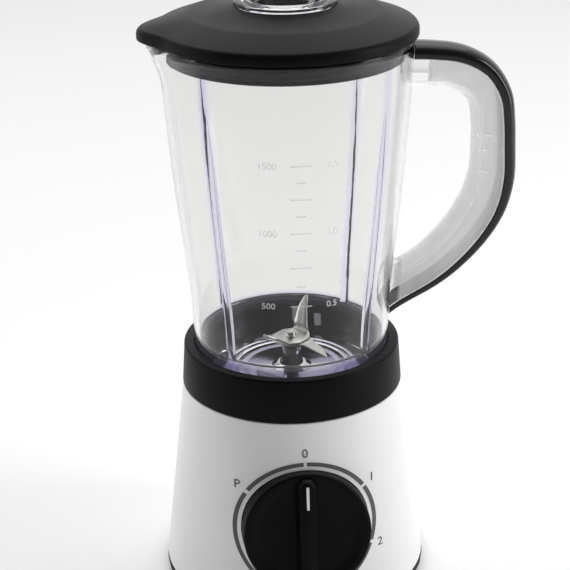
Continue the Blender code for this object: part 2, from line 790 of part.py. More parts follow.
def make_interlock():
    """The pin that the jar's foot presses, its return spring and the switch under it."""
    top = SEAT
    flange_top = top - SEAT_THICKNESS - PIN_FLANGE_DROP
    flange_bottom = flange_top - 1.5 * MM
    bottom = top - PIN_LENGTH
    outline = [
        (0.0, top),
        (PIN_RADIUS, top),
        (PIN_RADIUS, flange_top),
        (2 * PIN_RADIUS, flange_top),
        (2 * PIN_RADIUS, flange_bottom),
        (PIN_RADIUS, flange_bottom),
        (PIN_RADIUS, bottom),
        (0.0, bottom),
    ]
    pin = turned("interlock_pin", outline, "nylon", 12)
    pin.location.y = PIN_CIRCLE
    switch_top = bottom - 3 * MM
    coil_low = switch_top + GAP + SPRING_WIRE
    coil_high = flange_bottom - GAP - SPRING_WIRE
    per_turn = 6
    points = []
    for i in range(SPRING_TURNS * per_turn + 1):
        angle = 2 * math.pi * i / per_turn
        level = coil_low + (coil_high - coil_low) * i / (SPRING_TURNS * per_turn)
        points.append((SPRING_RADIUS * math.cos(angle), PIN_CIRCLE + SPRING_RADIUS * math.sin(angle), level))
    tube("interlock_spring", points, SPRING_WIRE, "steel", resolution=1)
    switch_height = 10 * MM
    switch_centre = (0.0, PIN_CIRCLE, switch_top - switch_height / 2)
    block("microswitch", (20 * MM, 7 * MM, switch_height), switch_centre, "black_plastic")
    board_height = 30 * MM
    board_centre = (0.0, PIN_CIRCLE, STATOR_BOTTOM - board_height / 2)
    block("circuit_board", (44 * MM, 1.6 * MM, board_height), board_centre, "board")


# ---------------------------------------------------------------- coupling


def coupling_levels():
    """Bottom and top of the drive coupling: it stands through the seat, below the jar's floor."""
    return (SEAT - 4.5 * MM, FLOOR_UNDER - 10.5 * MM)


def make_drive_coupling():
    bottom, top = coupling_levels()
    dogs = toothed(DOG_RADIUS, DOG_ROOT_RADIUS, DOG_COUNT, 0.4, 0.08)
    bore = circle(MOTOR_SHAFT_RADIUS + GAP, COARSE)
    plate("drive_coupling", [dogs, bore], top - bottom, bottom, "rubber")


def make_driven_coupling():
    """A cup on the blade shaft with a pocket that fits over the drive coupling's dogs."""
    cup_bottom = SEAT + 1.5 * MM
    pocket_top = coupling_levels()[1] + 1 * MM
    cup_top = pocket_top + 3 * MM
    bore = BLADE_SHAFT_RADIUS + GAP
    outline = [(0.0, cup_top), (CUP_RADIUS, cup_top), (CUP_RADIUS, cup_bottom), (0.0, cup_bottom)]
    cup = turned("driven_coupling", outline, "black_plastic", MEDIUM)
    # The pocket's dogs are wider than the drive's by the clearance on each flank.
    share = 0.4 + 2 * DOG_CLEARANCE / (2 * math.pi * DOG_RADIUS / DOG_COUNT)
    loop = toothed(DOG_RADIUS + DOG_CLEARANCE, DOG_ROOT_RADIUS + DOG_CLEARANCE, DOG_COUNT, share, 0.08)
    pocket = plate("coupling_pocket", [loop], pocket_top - cup_bottom + 1 * MM, cup_bottom - 1 * MM, None)
    combine(cup, pocket, "DIFFERENCE")
    combine(cup, cylinder("cup_bore", bore, cup_bottom, 2 * cup_top), "DIFFERENCE")


# ---------------------------------------------------------------- jar


def jar_radius(height):
    """The jar's outer radius at a height above the deck: straight between its stated swells."""
    share = height / JAR_HEIGHT
    last_share, last_swell = 0.0, 0.0
    for next_share, next_swell in JAR_SWELL:
        if share <= next_share:
            along = (share - last_share) / (next_share - last_share)
            return JAR_DECK_RADIUS + last_swell + (next_swell - last_swell) * along
        last_share, last_swell = next_share, next_swell
    return JAR_DECK_RADIUS + last_swell


def wall_levels():
    """Heights above the deck where the jar's outline has a point, top first."""
    return [share * JAR_HEIGHT for share, _ in reversed(JAR_SWELL)] + [0.0]


def jar_outline(grown):
    """The jar's outside as a filled solid, larger all round by the amount given."""
    points = [(0.0, RIM + grown)]
    points += [(jar_radius(h) + grown, DECK + h + (grown if h == JAR_HEIGHT else 0.0)) for h in wall_levels()]
    points += [(JAR_FOOT_RADIUS + grown, JAR_BOTTOM - grown), (0.0, JAR_BOTTOM - grown)]
    return points


def cavity_outline():
    """The space inside the jar: stepped in at the ledge, filleted at the floor, open past the rim."""
    levels = [h for h in wall_levels() if h > LEDGE_HEIGHT]
    over = 10 * MM
    wall = jar_radius(LEDGE_HEIGHT) - JAR_WALL
    points = [(0.0, RIM + over), (jar_radius(JAR_HEIGHT) - JAR_WALL, RIM + over)]
    points += [(jar_radius(h) - JAR_WALL, DECK + h) for h in levels]
    points += [(wall, DECK + LEDGE_HEIGHT), (wall - LEDGE_WIDTH, DECK + LEDGE_HEIGHT)]
    points += [(wall - LEDGE_WIDTH, JAR_INSIDE), (0.0, JAR_INSIDE)]
    return fillet(points, {len(points) - 2: JAR_FLOOR_FILLET}, 4)


def add_spout(obj, top, inner_radius):
    """Draws what lies outside a radius out at -X, fading below the rim and to each side."""
    solid = as_mesh(obj)
    half = math.radians(SPOUT_HALF_ANGLE)
    for vertex in solid.data.vertices:
        x, y, z = vertex.co
        radius = math.hypot(x, y)
        angle = abs(math.atan2(y, -x))
        if radius < inner_radius or angle >= half or z < top - SPOUT_DROP:
            continue
        share = 0.5 * (1 + math.cos(math.pi * angle / half))
        rise = min(1.0, (z - top + SPOUT_DROP) / SPOUT_DROP)
        scale = 1 + SPOUT_REACH * share * rise**1.5 / radius
        vertex.co = (x * scale, y * scale, z)
    return solid


def upright(obj, angle=0.0):
    """Stands an outline drawn as (distance from the axis, height) up in its radial plane."""
    obj.rotation_euler = (math.pi / 2, 0.0, math.radians(angle))
    return obj


def handle_line():
    return [Vector((JAR_DECK_RADIUS + x, DECK + z)) for x, z in smooth_line(HANDLE_LINE, 2)]


def band(name, line, inner, outer, width, finish):
    """A strip between two lines that run beside the given one, standing in the handle's plane."""
    loop = offset_line(line, outer) + offset_line(line, inner)[::-1]
    strip = plate(name, [[tuple(p) for p in loop]], width, -width / 2, finish)
    return upright(strip)


def make_jar_body():
    """The clear jar: wall, floor, skirt, spout, four ribs and the handle's channel, in one piece."""
    jar = add_spout(turned("jar_body", jar_outline(0.0), "clear_plastic", FINE), RIM, JAR_DECK_RADIUS)
    line = handle_line()
    channel = band("handle_channel", line, lambda s: -CHANNEL_DEPTH, lambda s: 0.0, HANDLE_WIDTH, None)
    first = round(CAVITY_START * len(line))
    last = round(CAVITY_END * len(line))
    groove_width = HANDLE_WIDTH - 2 * CHANNEL_WALL
    floor = CHANNEL_WALL - CHANNEL_DEPTH
    start = line[first - 1].lerp(line[first], 0.5)
    end = line[last - 1].lerp(line[last], 0.5)
    inside = [start, *line[first:last], end]
    groove = band("handle_groove", inside, lambda s: floor, lambda s: CHANNEL_WALL, groove_width, None)
    combine(jar, combine(channel, groove, "DIFFERENCE"), "UNION")
    cavity = add_spout(turned("jar_cavity", cavity_outline(), None, FINE), RIM, JAR_DECK_RADIUS)
    combine(jar, cavity, "DIFFERENCE")
    ribs = [make_rib(f"rib_{angle}", angle) for angle in RIB_ANGLES]
    combine(jar, joined_cutter("jar_ribs", ribs), "UNION")
    skirt_inner = JAR_FOOT_RADIUS - JAR_SKIRT_WALL
    combine(jar, cylinder("skirt_hollow", skirt_inner, SEAT - 1 * MM, FLOOR_UNDER, None, FINE), "DIFFERENCE")
    combine(jar, cylinder("floor_hole", FLOOR_HOLE_RADIUS, SEAT, DECK, None, MEDIUM), "DIFFERENCE")


def make_rib(name, angle):
    """A rib up the inside of the wall from the ledge, sunk into both and tapering out at its top."""
    levels = [LEDGE_HEIGHT - RIB_SINK, 60 * MM, 110 * MM, RIB_TOP - 25 * MM, RIB_TOP]
    inner = [(jar_radius(h) - JAR_WALL - RIB_DEPTH, DECK + h) for h in levels[:-1]]
    outer = [(jar_radius(h) - JAR_WALL / 2, DECK + h) for h in (levels[0], 60 * MM, levels[-1])]
    return upright(plate(name, [inner + outer[::-1]], RIB_WIDTH, -RIB_WIDTH / 2, None), angle)


def make_handle_cover():
    """The black strip over the channel, thinner at its lower end and clear of the jar's wall."""
    line = handle_line()

    def depth(share):
        blend = min(1.0, share / 0.45)
        return COVER_END_DEPTH + (COVER_DEPTH - COVER_END_DEPTH) * blend

    cover = band("handle_cover", line, lambda s: GAP, depth, HANDLE_WIDTH, "black_plastic")
    combine(cover, turned("jar_clearance", jar_outline(GAP), None, FINE), "DIFFERENCE")


# ---------------------------------------------------------------- blade unit


def make_floor_dish():
    """A thin bright dish on the jar's floor, with a raised step round its rim."""
    low = JAR_INSIDE + GAP
    thickness = DISH_TOP - low
    hole = HOUSING_RADIUS + GAP
    step = 1.2 * MM
    outline = [
        (hole, low + thickness),
        (DISH_RADIUS - 9 * MM, low + thickness),
        (DISH_RADIUS - 7 * MM, low + thickness + step),
        (DISH_RADIUS, low + thickness + step),
        (DISH_RADIUS, low + step),
        (DISH_RADIUS - 6 * MM, low + step),
        (DISH_RADIUS - 8 * MM, low),
        (hole, low),
    ]
    turned("floor_dish", outline, "steel", FINE)


def make_blade_bearing():
    """The flanged tube through the floor, its gasket, its nut and its two bushes."""
    nut_top = FLOOR_UNDER - GAP
    nut_height = 4 * MM
    tube_bottom = nut_top - nut_height - 1.5 * MM
    flange = 12 * MM
    housing = [
        (HOUSING_BORE, HOUSING_TOP),
        (flange - 1 * MM, HOUSING_TOP),
        (flange, DISH_TOP + GAP),
        (HOUSING_RADIUS, DISH_TOP + GAP),
        (HOUSING_RADIUS, tube_bottom),
        (HOUSING_BORE, tube_bottom),
    ]
    turned("blade_housing", housing, "steel", 24)
    ring = [
        (HOUSING_RADIUS + GAP, JAR_INSIDE),
        (FLOOR_HOLE_RADIUS - GAP, JAR_INSIDE),
        (FLOOR_HOLE_RADIUS - GAP, FLOOR_UNDER),
        (HOUSING_RADIUS + GAP, FLOOR_UNDER),
    ]
    turned("blade_gasket", ring, "rubber", 24)
    nut_loops = [circle(20 * MM, 6), circle(HOUSING_RADIUS + GAP, 24)]
    plate("housing_nut", nut_loops, nut_height, nut_top - nut_height, "black_plastic")
    bush_length = 5.5 * MM
    for name, bottom in (("upper_bush", HOUSING_TOP - bush_length), ("lower_bush", tube_bottom)):
        outline = [
            (BLADE_BUSH_BORE, bottom + bush_length),
            (HOUSING_BORE - GAP, bottom + bush_length),
            (HOUSING_BORE - GAP, bottom),
            (BLADE_BUSH_BORE, bottom),
        ]
        turned(name, outline, "bronze", 24)


def make_blades():
    """The shaft, the spacer, two crossed blades with bent wings and the nut on top."""
    upper_low = BLADE_LEVEL
    lower_low = BLADE_LEVEL - BLADE_THICKNESS - GAP
    spacer_top = lower_low - GAP
    stud_top = BLADE_LEVEL + BLADE_THICKNESS + GAP + 2.6 * MM
    shaft_bottom = coupling_levels()[1] + 0.8 * MM
    shaft = [
        (0.0, stud_top),
        (BLADE_STUD_RADIUS, stud_top),
        (BLADE_STUD_RADIUS, spacer_top - GAP),
        (BLADE_SHAFT_RADIUS, spacer_top - GAP),
        (BLADE_SHAFT_RADIUS, shaft_bottom),
        (0.0, shaft_bottom),
    ]
    turned("blade_shaft", shaft, "steel", 24)
    spacer = [
        (BLADE_SHAFT_RADIUS + GAP, spacer_top),
        (5.6 * MM, spacer_top),
        (5.6 * MM, HOUSING_TOP + GAP),
        (BLADE_SHAFT_RADIUS + GAP, HOUSING_TOP + GAP),
    ]
    turned("blade_spacer", spacer, "steel", 24)
    make_blade("blade_upper", 47, upper_low, ((72, 19 * MM, 6.2 * MM), (33, 16.5 * MM, 6.2 * MM)))
    make_blade("blade_lower", -40, lower_low, ((-22, 18 * MM, 5.6 * MM), (-22, 18 * MM, 5.6 * MM)))
    nut_low = upper_low + BLADE_THICKNESS + GAP
    nut_loops = [circle(4 * MM, 12), circle(BLADE_STUD_RADIUS + GAP, 12)]
    plate("blade_nut", nut_loops, 2 * MM, nut_low, "steel")


def make_blade(name, angle, level, wings):
    """A flat strip with a wing bent up or down at each end; wings gives (bend, length, half width)."""
    shape = bmesh.new()
    half = wings[0][2]
    shoulder = 0.55 * BLADE_ROOT
    rows = []
    for side, (bend, length, half_width) in zip((1, -1), wings):
        rise = math.sin(math.radians(bend))
        run = math.cos(math.radians(bend))
        # (share of the wing's length, leading edge, trailing edge) as shares of the half width
        for share, lead, trail in ((0.0, 1.0, 1.0), (0.3, 0.95, 0.62), (0.65, 0.8, 0.1), (1.0, 0.35, -0.15)):
            x = side * (BLADE_ROOT + share * length * run)
            z = share * length * rise
            lead_edge = shape.verts.new((x, side * lead * half_width, z))
            trail_edge = shape.verts.new((x, -side * trail * half_width, z))
            rows.append((lead_edge, trail_edge))
    for start in (0, 4):
        for i in range(start, start + 3):
            shape.faces.new((rows[i][0], rows[i][1], rows[i + 1][1], rows[i + 1][0]))
    right, left = rows[0], rows[4]
    waist = 1.35 * half
    places = ((shoulder, waist), (-shoulder, waist), (-shoulder, -waist), (shoulder, -waist))
    corners = [shape.verts.new((x, y, 0.0)) for x, y in places]
    shape.faces.new((right[1], right[0], *corners[:2], left[1], left[0], *corners[2:]))
    bmesh.ops.recalc_face_normals(shape, faces=shape.faces)
    mesh = bpy.data.meshes.new(name)
    shape.to_mesh(mesh)
    shape.free()
    obj = add_object(name, mesh, "steel")
    obj.location.z = level + BLADE_THICKNESS / 2
    obj.rotation_euler.z = math.radians(angle)
    sheet = obj.modifiers.new("Sheet", "SOLIDIFY")
    sheet.thickness = BLADE_THICKNESS
    sheet.offset = 0.0
    sheet.use_even_offset = True
    low = level - BLADE_THICKNESS
    high = level + 2 * BLADE_THICKNESS
    combine(obj, cylinder(f"{name}_hole", BLADE_STUD_RADIUS + GAP, low, high, sides=12), "DIFFERENCE")


# ---------------------------------------------------------------- lid


def rim_inner_radius():
    return jar_radius(JAR_HEIGHT) - JAR_WALL


def make_lid():
    """The black lid: flange on the rim, plug inside it and a hole for the cap; and the plug's gasket."""
    low = RIM + GAP
    hole = CAP_RADIUS + GAP
    plug = rim_inner_radius() - LID_PLUG_CLEARANCE
    wall = 3 * MM
    outline = [
        (hole, low + LID_RISE),
        (hole + 5 * MM, low + LID_RISE),
        (plug - 12 * MM, low + LID_RISE - 4 * MM),
        (LID_RADIUS, low + 6 * MM),
        (LID_RADIUS, low),
        (plug, low),
        (plug, low - LID_PLUG_DEPTH),
        (plug - wall, low - LID_PLUG_DEPTH),
        (plug - wall, low + wall),
        (hole + 4 * MM, low + LID_RISE - 8 * MM),
        (hole + 3 * MM, low - 3 * MM),
        (hole, low - 3 * MM),
    ]
    lid = turned("lid", fillet(outline, {2: 12 * MM, 3: 3 * MM}), "black_plastic", FINE)
    add_spout(lid, RIM, plug + SLIP)
    ring_top = low - 4 * MM
    ring_height = 5 * MM
    ring = [
        (plug + GAP, ring_top),
        (rim_inner_radius() - SLIP, ring_top),
        (rim_inner_radius() - 2 * SLIP, ring_top - ring_height),
        (plug + GAP, ring_top - ring_height),
    ]
    turned("lid_gasket", ring, "rubber", FINE)


def make_filler_cap():
    """A clear cup set upside down in the lid's hole, with a flange that rests on it."""
    seat = RIM + GAP + LID_RISE + GAP
    flange = CAP_RADIUS + CAP_FLANGE
    wall = 2.2 * MM
    top = seat + CAP_RISE
    bottom = RIM - 6 * MM
    outline = [
        (0.0, top),
        (CAP_RADIUS - 3 * MM, top),
        (CAP_RADIUS - 1 * MM, seat + 3 * MM),
        (flange, seat + 2.5 * MM),
        (flange, seat),
        (CAP_RADIUS, seat),
        (CAP_RADIUS, bottom),
        (CAP_RADIUS - wall, bottom),
        (CAP_RADIUS - wall - 2 * MM, top - wall),
        (0.0, top - wall),
    ]
    turned("filler_cap", fillet(outline, {1: 2 * MM}), "clear_plastic", MEDIUM)


def main():
    make_dial_axis()
    make_base_housing()
    make_base_collar()
    make_bottom_plate()
    make_feet_and_screws()
    make_cord_gland()
    make_dial()
    make_brackets_and_bearings()
    make_stator()
    make_field_coils()
    make_armature()
    make_brushes()
    make_fan()
    make_motor_fixings()
    make_interlock()
    make_drive_coupling()
    make_driven_coupling()
    make_jar_body()
    make_handle_cover()
    make_floor_dish()
    make_blade_bearing()
    make_blades()
    make_lid()
    make_filler_cap()


main()
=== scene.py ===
"""Looks of the countertop blender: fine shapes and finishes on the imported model's bodies."""

import json
import math

import bmesh
import bpy
from mathutils import Matrix, Vector


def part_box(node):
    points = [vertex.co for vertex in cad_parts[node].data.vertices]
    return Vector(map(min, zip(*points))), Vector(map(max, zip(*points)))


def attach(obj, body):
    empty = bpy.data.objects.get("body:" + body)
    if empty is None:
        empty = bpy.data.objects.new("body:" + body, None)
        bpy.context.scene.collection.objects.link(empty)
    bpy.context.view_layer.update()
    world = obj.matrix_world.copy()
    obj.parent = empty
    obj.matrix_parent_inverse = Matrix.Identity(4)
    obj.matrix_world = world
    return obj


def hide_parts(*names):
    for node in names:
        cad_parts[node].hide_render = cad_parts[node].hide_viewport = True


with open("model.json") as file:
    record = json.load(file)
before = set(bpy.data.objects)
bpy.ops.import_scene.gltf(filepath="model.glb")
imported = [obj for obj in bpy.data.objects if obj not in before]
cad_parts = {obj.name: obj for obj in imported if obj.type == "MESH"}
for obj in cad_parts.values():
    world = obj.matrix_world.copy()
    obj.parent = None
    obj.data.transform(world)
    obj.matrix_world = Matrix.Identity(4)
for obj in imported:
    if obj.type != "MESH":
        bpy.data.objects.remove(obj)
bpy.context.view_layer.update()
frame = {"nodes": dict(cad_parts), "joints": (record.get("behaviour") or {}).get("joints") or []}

bl_info = {
    "name": "Countertop Blender",
    "version": (1, 0, 0),
    "blender": (4, 5, 0),
    "location": "View3D > Sidebar > Blender",
    "description": "Builds the fine shapes and finishes of a countertop blender",
    "category": "Add Mesh",
}

MM = 0.001
TURN = 2 * math.pi

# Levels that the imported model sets
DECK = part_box("base_collar")[1].z
COLLAR_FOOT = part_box("base_housing")[1].z
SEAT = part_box("interlock_pin")[1].z
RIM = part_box("jar_body")[1].z
JAR_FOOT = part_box("jar_body")[0].z
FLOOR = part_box("blade_gasket")[1].z
FLOOR_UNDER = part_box("blade_gasket")[0].z
PLATE_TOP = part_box("bottom_plate")[1].z


# ---------------------------------------------------------------- sizes and colours


def length(name, words, default):
    return bpy.props.FloatProperty(name=name, description=words, default=default, unit="LENGTH", precision=5)


def colour(name, words, default):
    return bpy.props.FloatVectorProperty(
        name=name, description=words, default=default, size=3, min=0.0, max=1.0, subtype="COLOR"
    )


def share(name, words, default):
    return bpy.props.FloatProperty(
        name=name, description=words, default=default, min=0.0, max=1.0, subtype="FACTOR"
    )


class BaseSizes(bpy.types.PropertyGroup):
    """The white cone and the black collar."""

    foot_radius: length("Foot radius", "Radius of the cone at the bottom plate", 80.3 * MM)
    top_radius: length("Top radius", "Radius of the cone under the collar", 65.8 * MM)
    collar_radius: length("Collar radius", "Outer radius of the collar at its deck", 64.0 * MM)
    well_radius: length("Well radius", "Radius of the well that the jar stands in", 58.1 * MM)
    wall: length("Wall", "Thickness of the base's walls", 2.5 * MM)
    white: colour("White", "Colour of the housing", (0.82, 0.82, 0.815))
    black: colour("Black", "Colour of the collar and the dial", (0.004, 0.004, 0.0042))
    ink: colour("Ink", "Colour of the printed scale", (0.07, 0.07, 0.075))


class DialSizes(bpy.types.PropertyGroup):
    """The knob and the printed ring around it."""

    radius: length("Radius", "Radius of the knob", 37.2 * MM)
    recess: length("Recess", "Depth of the recess that the knob sits in", 14 * MM)
    face: length("Face", "How far the knob's rim stands out of the slope", 5 * MM)
    ring_outer: length("Ring outer radius", "Outer radius of the printed ring", 42.4 * MM)
    ring_inner: length("Ring inner radius", "Inner radius of the printed ring", 40.0 * MM)
    figure_height: length("Figure height", "Height of the printed figures", 5.4 * MM)


class JarSizes(bpy.types.PropertyGroup):
    """The clear jar, its ribs, its spout and its scale."""

    deck_radius: length("Deck radius", "Outer radius where the jar leaves the collar", 57.6 * MM)
    foot_radius: length("Foot radius", "Outer radius of the jar's foot", 56.8 * MM)
    wall: length("Wall", "Thickness of the jar's wall", 3.1 * MM)
    rib_width: length("Rib width", "Width of a rib at its foot", 5.0 * MM)
    rib_depth: length("Rib depth", "How far a rib stands into the jar", 3.0 * MM)
    spout_reach: length("Spout reach", "How far the spout stands out of the rim", 9 * MM)
    ledge_height: length("Ledge height", "Top of the ledge at the jar's foot, above the deck", 4.5 * MM)
    ledge_width: length("Ledge width", "How far the ledge stands in from the wall", 3.5 * MM)
    clear: colour("Clear", "Colour of the clear plastic", (0.895, 0.895, 0.888))
    violet: colour("Violet", "Tint that shows in the jar's thick edges", (0.62, 0.58, 0.86))


class HandleSizes(bpy.types.PropertyGroup):
    """The moulded channel and its black cover."""

    width: length("Width", "Width of the handle", 22 * MM)
    depth: length("Channel depth", "Depth of the clear channel", 17 * MM)
    wall: length("Channel wall", "Thickness of the channel's walls", 2.4 * MM)
    cover_depth: length("Cover depth", "Depth of the cover along the grip", 8.5 * MM)
    cover_end: length("Cover end", "Depth of the cover at its lower end", 5 * MM)


class StudioSettings(bpy.types.PropertyGroup):
    """The floor, the lights and the camera."""

    distance: length("Camera distance", "From the aim point to the camera", 0.97)
    lens: bpy.props.FloatProperty(name="Lens", description="Focal length", default=103.5, unit="CAMERA")
    elevation: bpy.props.FloatProperty(
        name="Elevation", description="Camera above the horizon", default=math.radians(22.58), subtype="ANGLE"
    )
    azimuth: bpy.props.FloatProperty(
        name="Azimuth", description="Camera round from the front", default=math.radians(-5.5), subtype="ANGLE"
    )
    roll: bpy.props.FloatProperty(
        name="Roll", description="Turn about the line of sight", default=math.radians(-1.06), subtype="ANGLE"
    )
    floor_grey: share("Floor", "How pale the floor is", 0.93)


GROUPS = {
    "blender_base": BaseSizes,
    "blender_dial": DialSizes,
    "blender_jar": JarSizes,
    "blender_handle": HandleSizes,
    "blender_studio": StudioSettings,
}

# The jar swells outwards with height: (share of its height above the deck, swell)
JAR_SWELL = (
    (0.0, 0.0),
    (0.166, 1.3 * MM),
    (0.323, 4.4 * MM),
    (0.49, 7.6 * MM),
    (0.656, 10.3 * MM),
    (0.813, 12.5 * MM),
    (1.0, 14.2 * MM),
)
# The handle's parting line: (distance from the axis, height above the deck)
HANDLE_LINE = (
    (50 * MM, 13 * MM),
    (62 * MM, 22.5 * MM),
    (84.5 * MM, 35.5 * MM),
    (100 * MM, 48.5 * MM),
    (112.5 * MM, 63.5 * MM),
    (120.5 * MM, 79 * MM),
    (123.8 * MM, 96 * MM),
    (123.6 * MM, 114 * MM),
    (122.8 * MM, 130 * MM),
    (120.6 * MM, 144 * MM),
    (112.5 * MM, 157 * MM),
    (99 * MM, 165 * MM),
    (82 * MM, 168 * MM),
    (62 * MM, 169 * MM),
)
# How deep the handle's channel is along its line, in shares of its depth at the grip
CHANNEL_SHARES = (1.12, 1.12, 1.15, 1.2, 1.24, 1.18, 1.06, 1.0, 1.0, 1.0, 1.0, 1.0, 1.0)
JAR_HEIGHT = RIM - DECK
RIB_ANGLES = (45, 135, 225, 315)


# ---------------------------------------------------------------- shader graphs


class Field:
    """A shader value that takes part in arithmetic."""

    def __init__(self, graph, socket):
        self.graph = graph
        self.socket = socket

    def math(self, operation, *others, clamp=False):
        return self.graph.node(
            "ShaderNodeMath",
            {"operation": operation, "use_clamp": clamp},
            **{"0": self, "1": others[0] if others else 0},
        )

    def __add__(self, other):
        return self.math("ADD", other)

    def __radd__(self, other):
        return self.math("ADD", other)

    def __sub__(self, other):
        return self.math("SUBTRACT", other)

    def __rsub__(self, other):
        return self.math("MULTIPLY", -1.0).math("ADD", other)

    def __mul__(self, other):
        return self.math("MULTIPLY", other)

    def __rmul__(self, other):
        return self.math("MULTIPLY", other)

    def __truediv__(self, other):
        return self.math("DIVIDE", other)

    def __pow__(self, other):
        return self.math("POWER", other)

    def step(self, low, high):
        """0 below low and 1 above high, in a straight line between."""
        return self.math("SUBTRACT", low).math("MULTIPLY", 1.0 / (high - low), clamp=True)


class Finish:
    """A material with one Principled shader, built from fields."""

    def __init__(self, name, colour, roughness, metallic=0.0, **constants):
        self.material = bpy.data.materials.new(name)
        self.material.use_nodes = True
        self.tree = self.material.node_tree
        self.shader = self.tree.nodes["Principled BSDF"]
        self.shader.inputs["Base Color"].default_value = (*colour, 1.0)
        self.shader.inputs["Roughness"].default_value = roughness
        self.shader.inputs["Metallic"].default_value = metallic
        for key, value in constants.items():
            self.shader.inputs[key.replace("_", " ")].default_value = value
        place = self.tree.nodes.new("ShaderNodeTexCoord")
        self.place = Field(self, place.outputs["Object"])

    def node(self, kind, settings=None, **sockets):
        """A new node; its settings are set first, then its sockets get values or links."""
        node = self.tree.nodes.new(kind)
        for key, value in (settings or {}).items():
            if key == "stops":
                self.set_stops(node.color_ramp, value)
            else:
                setattr(node, key, value)
        for key, value in sockets.items():
            socket = node.inputs[int(key)] if key.isdigit() else node.inputs[key.replace("_", " ")]
            if isinstance(value, Field):
                self.tree.links.new(value.socket, socket)
            else:
                socket.default_value = value
        return Field(self, next(out for out in node.outputs if out.enabled))

    def set_stops(self, ramp, stops):
        while len(ramp.elements) < len(stops):
            ramp.elements.new(0.5)
        for element, (position, value) in zip(ramp.elements, stops):
            element.position = position
            element.color = (*value, 1.0) if isinstance(value, tuple) else (value, value, value, 1.0)

    def feed(self, socket, field):
        self.tree.links.new(field.socket, self.shader.inputs[socket])
        return self

    def axis(self, name):
        """One coordinate of the place on the piece, in metres."""
        split = self.node("ShaderNodeSeparateXYZ", **{"0": self.place}).socket.node
        return Field(self, split.outputs[name])

    def radius(self):
        """Distance from the vertical axis, in metres."""
        across, along = self.axis("X"), self.axis("Y")
        return (across * across + along * along) ** 0.5

    def facing(self):
        """How far the surface faces upwards: 1 on a level top, 0 on an upright side."""
        normal = self.tree.nodes.new("ShaderNodeNewGeometry").outputs["Normal"]
        split = self.node("ShaderNodeSeparateXYZ", **{"0": Field(self, normal)}).socket.node
        return Field(self, split.outputs["Z"])

    def noise(self, size, detail=2.0, stretch=(1.0, 1.0, 1.0), roughness=0.5):
        """Noise whose grains are about the given size in metres."""
        mapped = self.node("ShaderNodeMapping", {"vector_type": "POINT"}, Vector=self.place, Scale=stretch)
        return self.node(
            "ShaderNodeTexNoise", None, Vector=mapped, Scale=1.0 / size, Detail=detail, Roughness=roughness
        )

    def mix(self, amount, first, second):
        """A colour between two, by a field."""
        first, second = (v if isinstance(v, Field) else (*v, 1.0) for v in (first, second))
        return self.node("ShaderNodeMix", {"data_type": "RGBA"}, **{"0": amount, "6": first, "7": second})

    def bump(self, height, distance, strength=1.0):
        """Relief of a height field, as deep as the distance in metres."""
        normal = self.node("ShaderNodeBump", None, Height=height, Distance=distance, Strength=strength)
        return self.feed("Normal", normal)

    def cloud(self, amount, colour, painted_glow=0.0):
        """Lets a share of a matt colour show through the main shader, lit a little from within by painted
        light.
        """
        matt = self.tree.nodes.new("ShaderNodeBsdfPrincipled")
        matt.inputs["Roughness"].default_value = 0.6
        matt.inputs["Emission Color"].default_value = (1.0, 1.0, 1.0, 1.0)
        matt.inputs["Emission Strength"].default_value = painted_glow
        self.tree.links.new(colour.socket, matt.inputs["Base Color"])
        blend = self.tree.nodes.new("ShaderNodeMixShader")
        output = self.tree.nodes["Material Output"]
        self.tree.links.new(amount.socket, blend.inputs["Fac"])
        self.tree.links.new(self.shader.outputs["BSDF"], blend.inputs[1])
        self.tree.links.new(matt.outputs["BSDF"], blend.inputs[2])
        self.tree.links.new(blend.outputs["Shader"], output.inputs["Surface"])
        return self

    def vary_roughness(self, field, low, high):
        return self.feed("Roughness", field * (high - low) + low)

    def vary_colour(self, field, first, second):
        return self.feed("Base Color", self.mix(field, first, second))


def shade(colour, factor):
    return tuple(min(1.0, c * factor) for c in colour)


def white_shell(colour):
    """Satin white moulding: a fine orange peel and the faintest unevenness of tone."""
    coat = {"Coat_Weight": 0.12, "Coat_Roughness": 0.12}
    finish = Finish("white_shell", colour, 0.32, Specular_IOR_Level=0.45, **coat)
    peel = finish.noise(0.9 * MM, 2.0)
    cloud = finish.noise(35 * MM, 3.0)
    finish.vary_colour(cloud, shade(colour, 0.975), shade(colour, 1.02))
    finish.vary_roughness(cloud * 0.6 + peel * 0.4, 0.27, 0.4)
    return finish.bump(peel, 0.012 * MM, 0.5).material


def black_satin(colour):
    """Fine spark-eroded black moulding, a little polished by hands in places, with painted light that makes
    faces pointing up paler.
    """
    finish = Finish("black_satin", colour, 0.4, Specular_IOR_Level=0.06)
    grain = finish.noise(0.25 * MM, 2.0)
    wear = finish.noise(28 * MM, 3.0)
    # Painted light: faces that point up get a colour up to nine times paler, as if lit from above; the wear
    # noise adds a little real unevenness of tone.
    painted_top_light = finish.facing().step(0.75, 0.98)
    finish.vary_colour((painted_top_light * 0.9 + wear * 0.1), shade(colour, 0.8), shade(colour, 9.0))
    finish.vary_roughness(wear * 0.7 + grain * 0.3, 0.34, 0.5)
    return finish.bump(grain, 0.006 * MM, 0.4).material


def black_gloss(colour):
    """Polished black moulding with hairline scratches."""
    coat = {"Coat_Weight": 0.12, "Coat_Roughness": 0.06}
    finish = Finish("black_gloss", colour, 0.12, Specular_IOR_Level=0.25, **coat)
    streak = finish.noise(1.2 * MM, 3.0, (6.0, 6.0, 0.6))
    haze = finish.noise(18 * MM, 2.0)
    finish.vary_colour(haze, colour, shade(colour, 1.8))
    finish.vary_roughness(haze * 0.6 + streak * 0.4, 0.08, 0.22)
    return finish.bump(streak, 0.004 * MM, 0.3).material


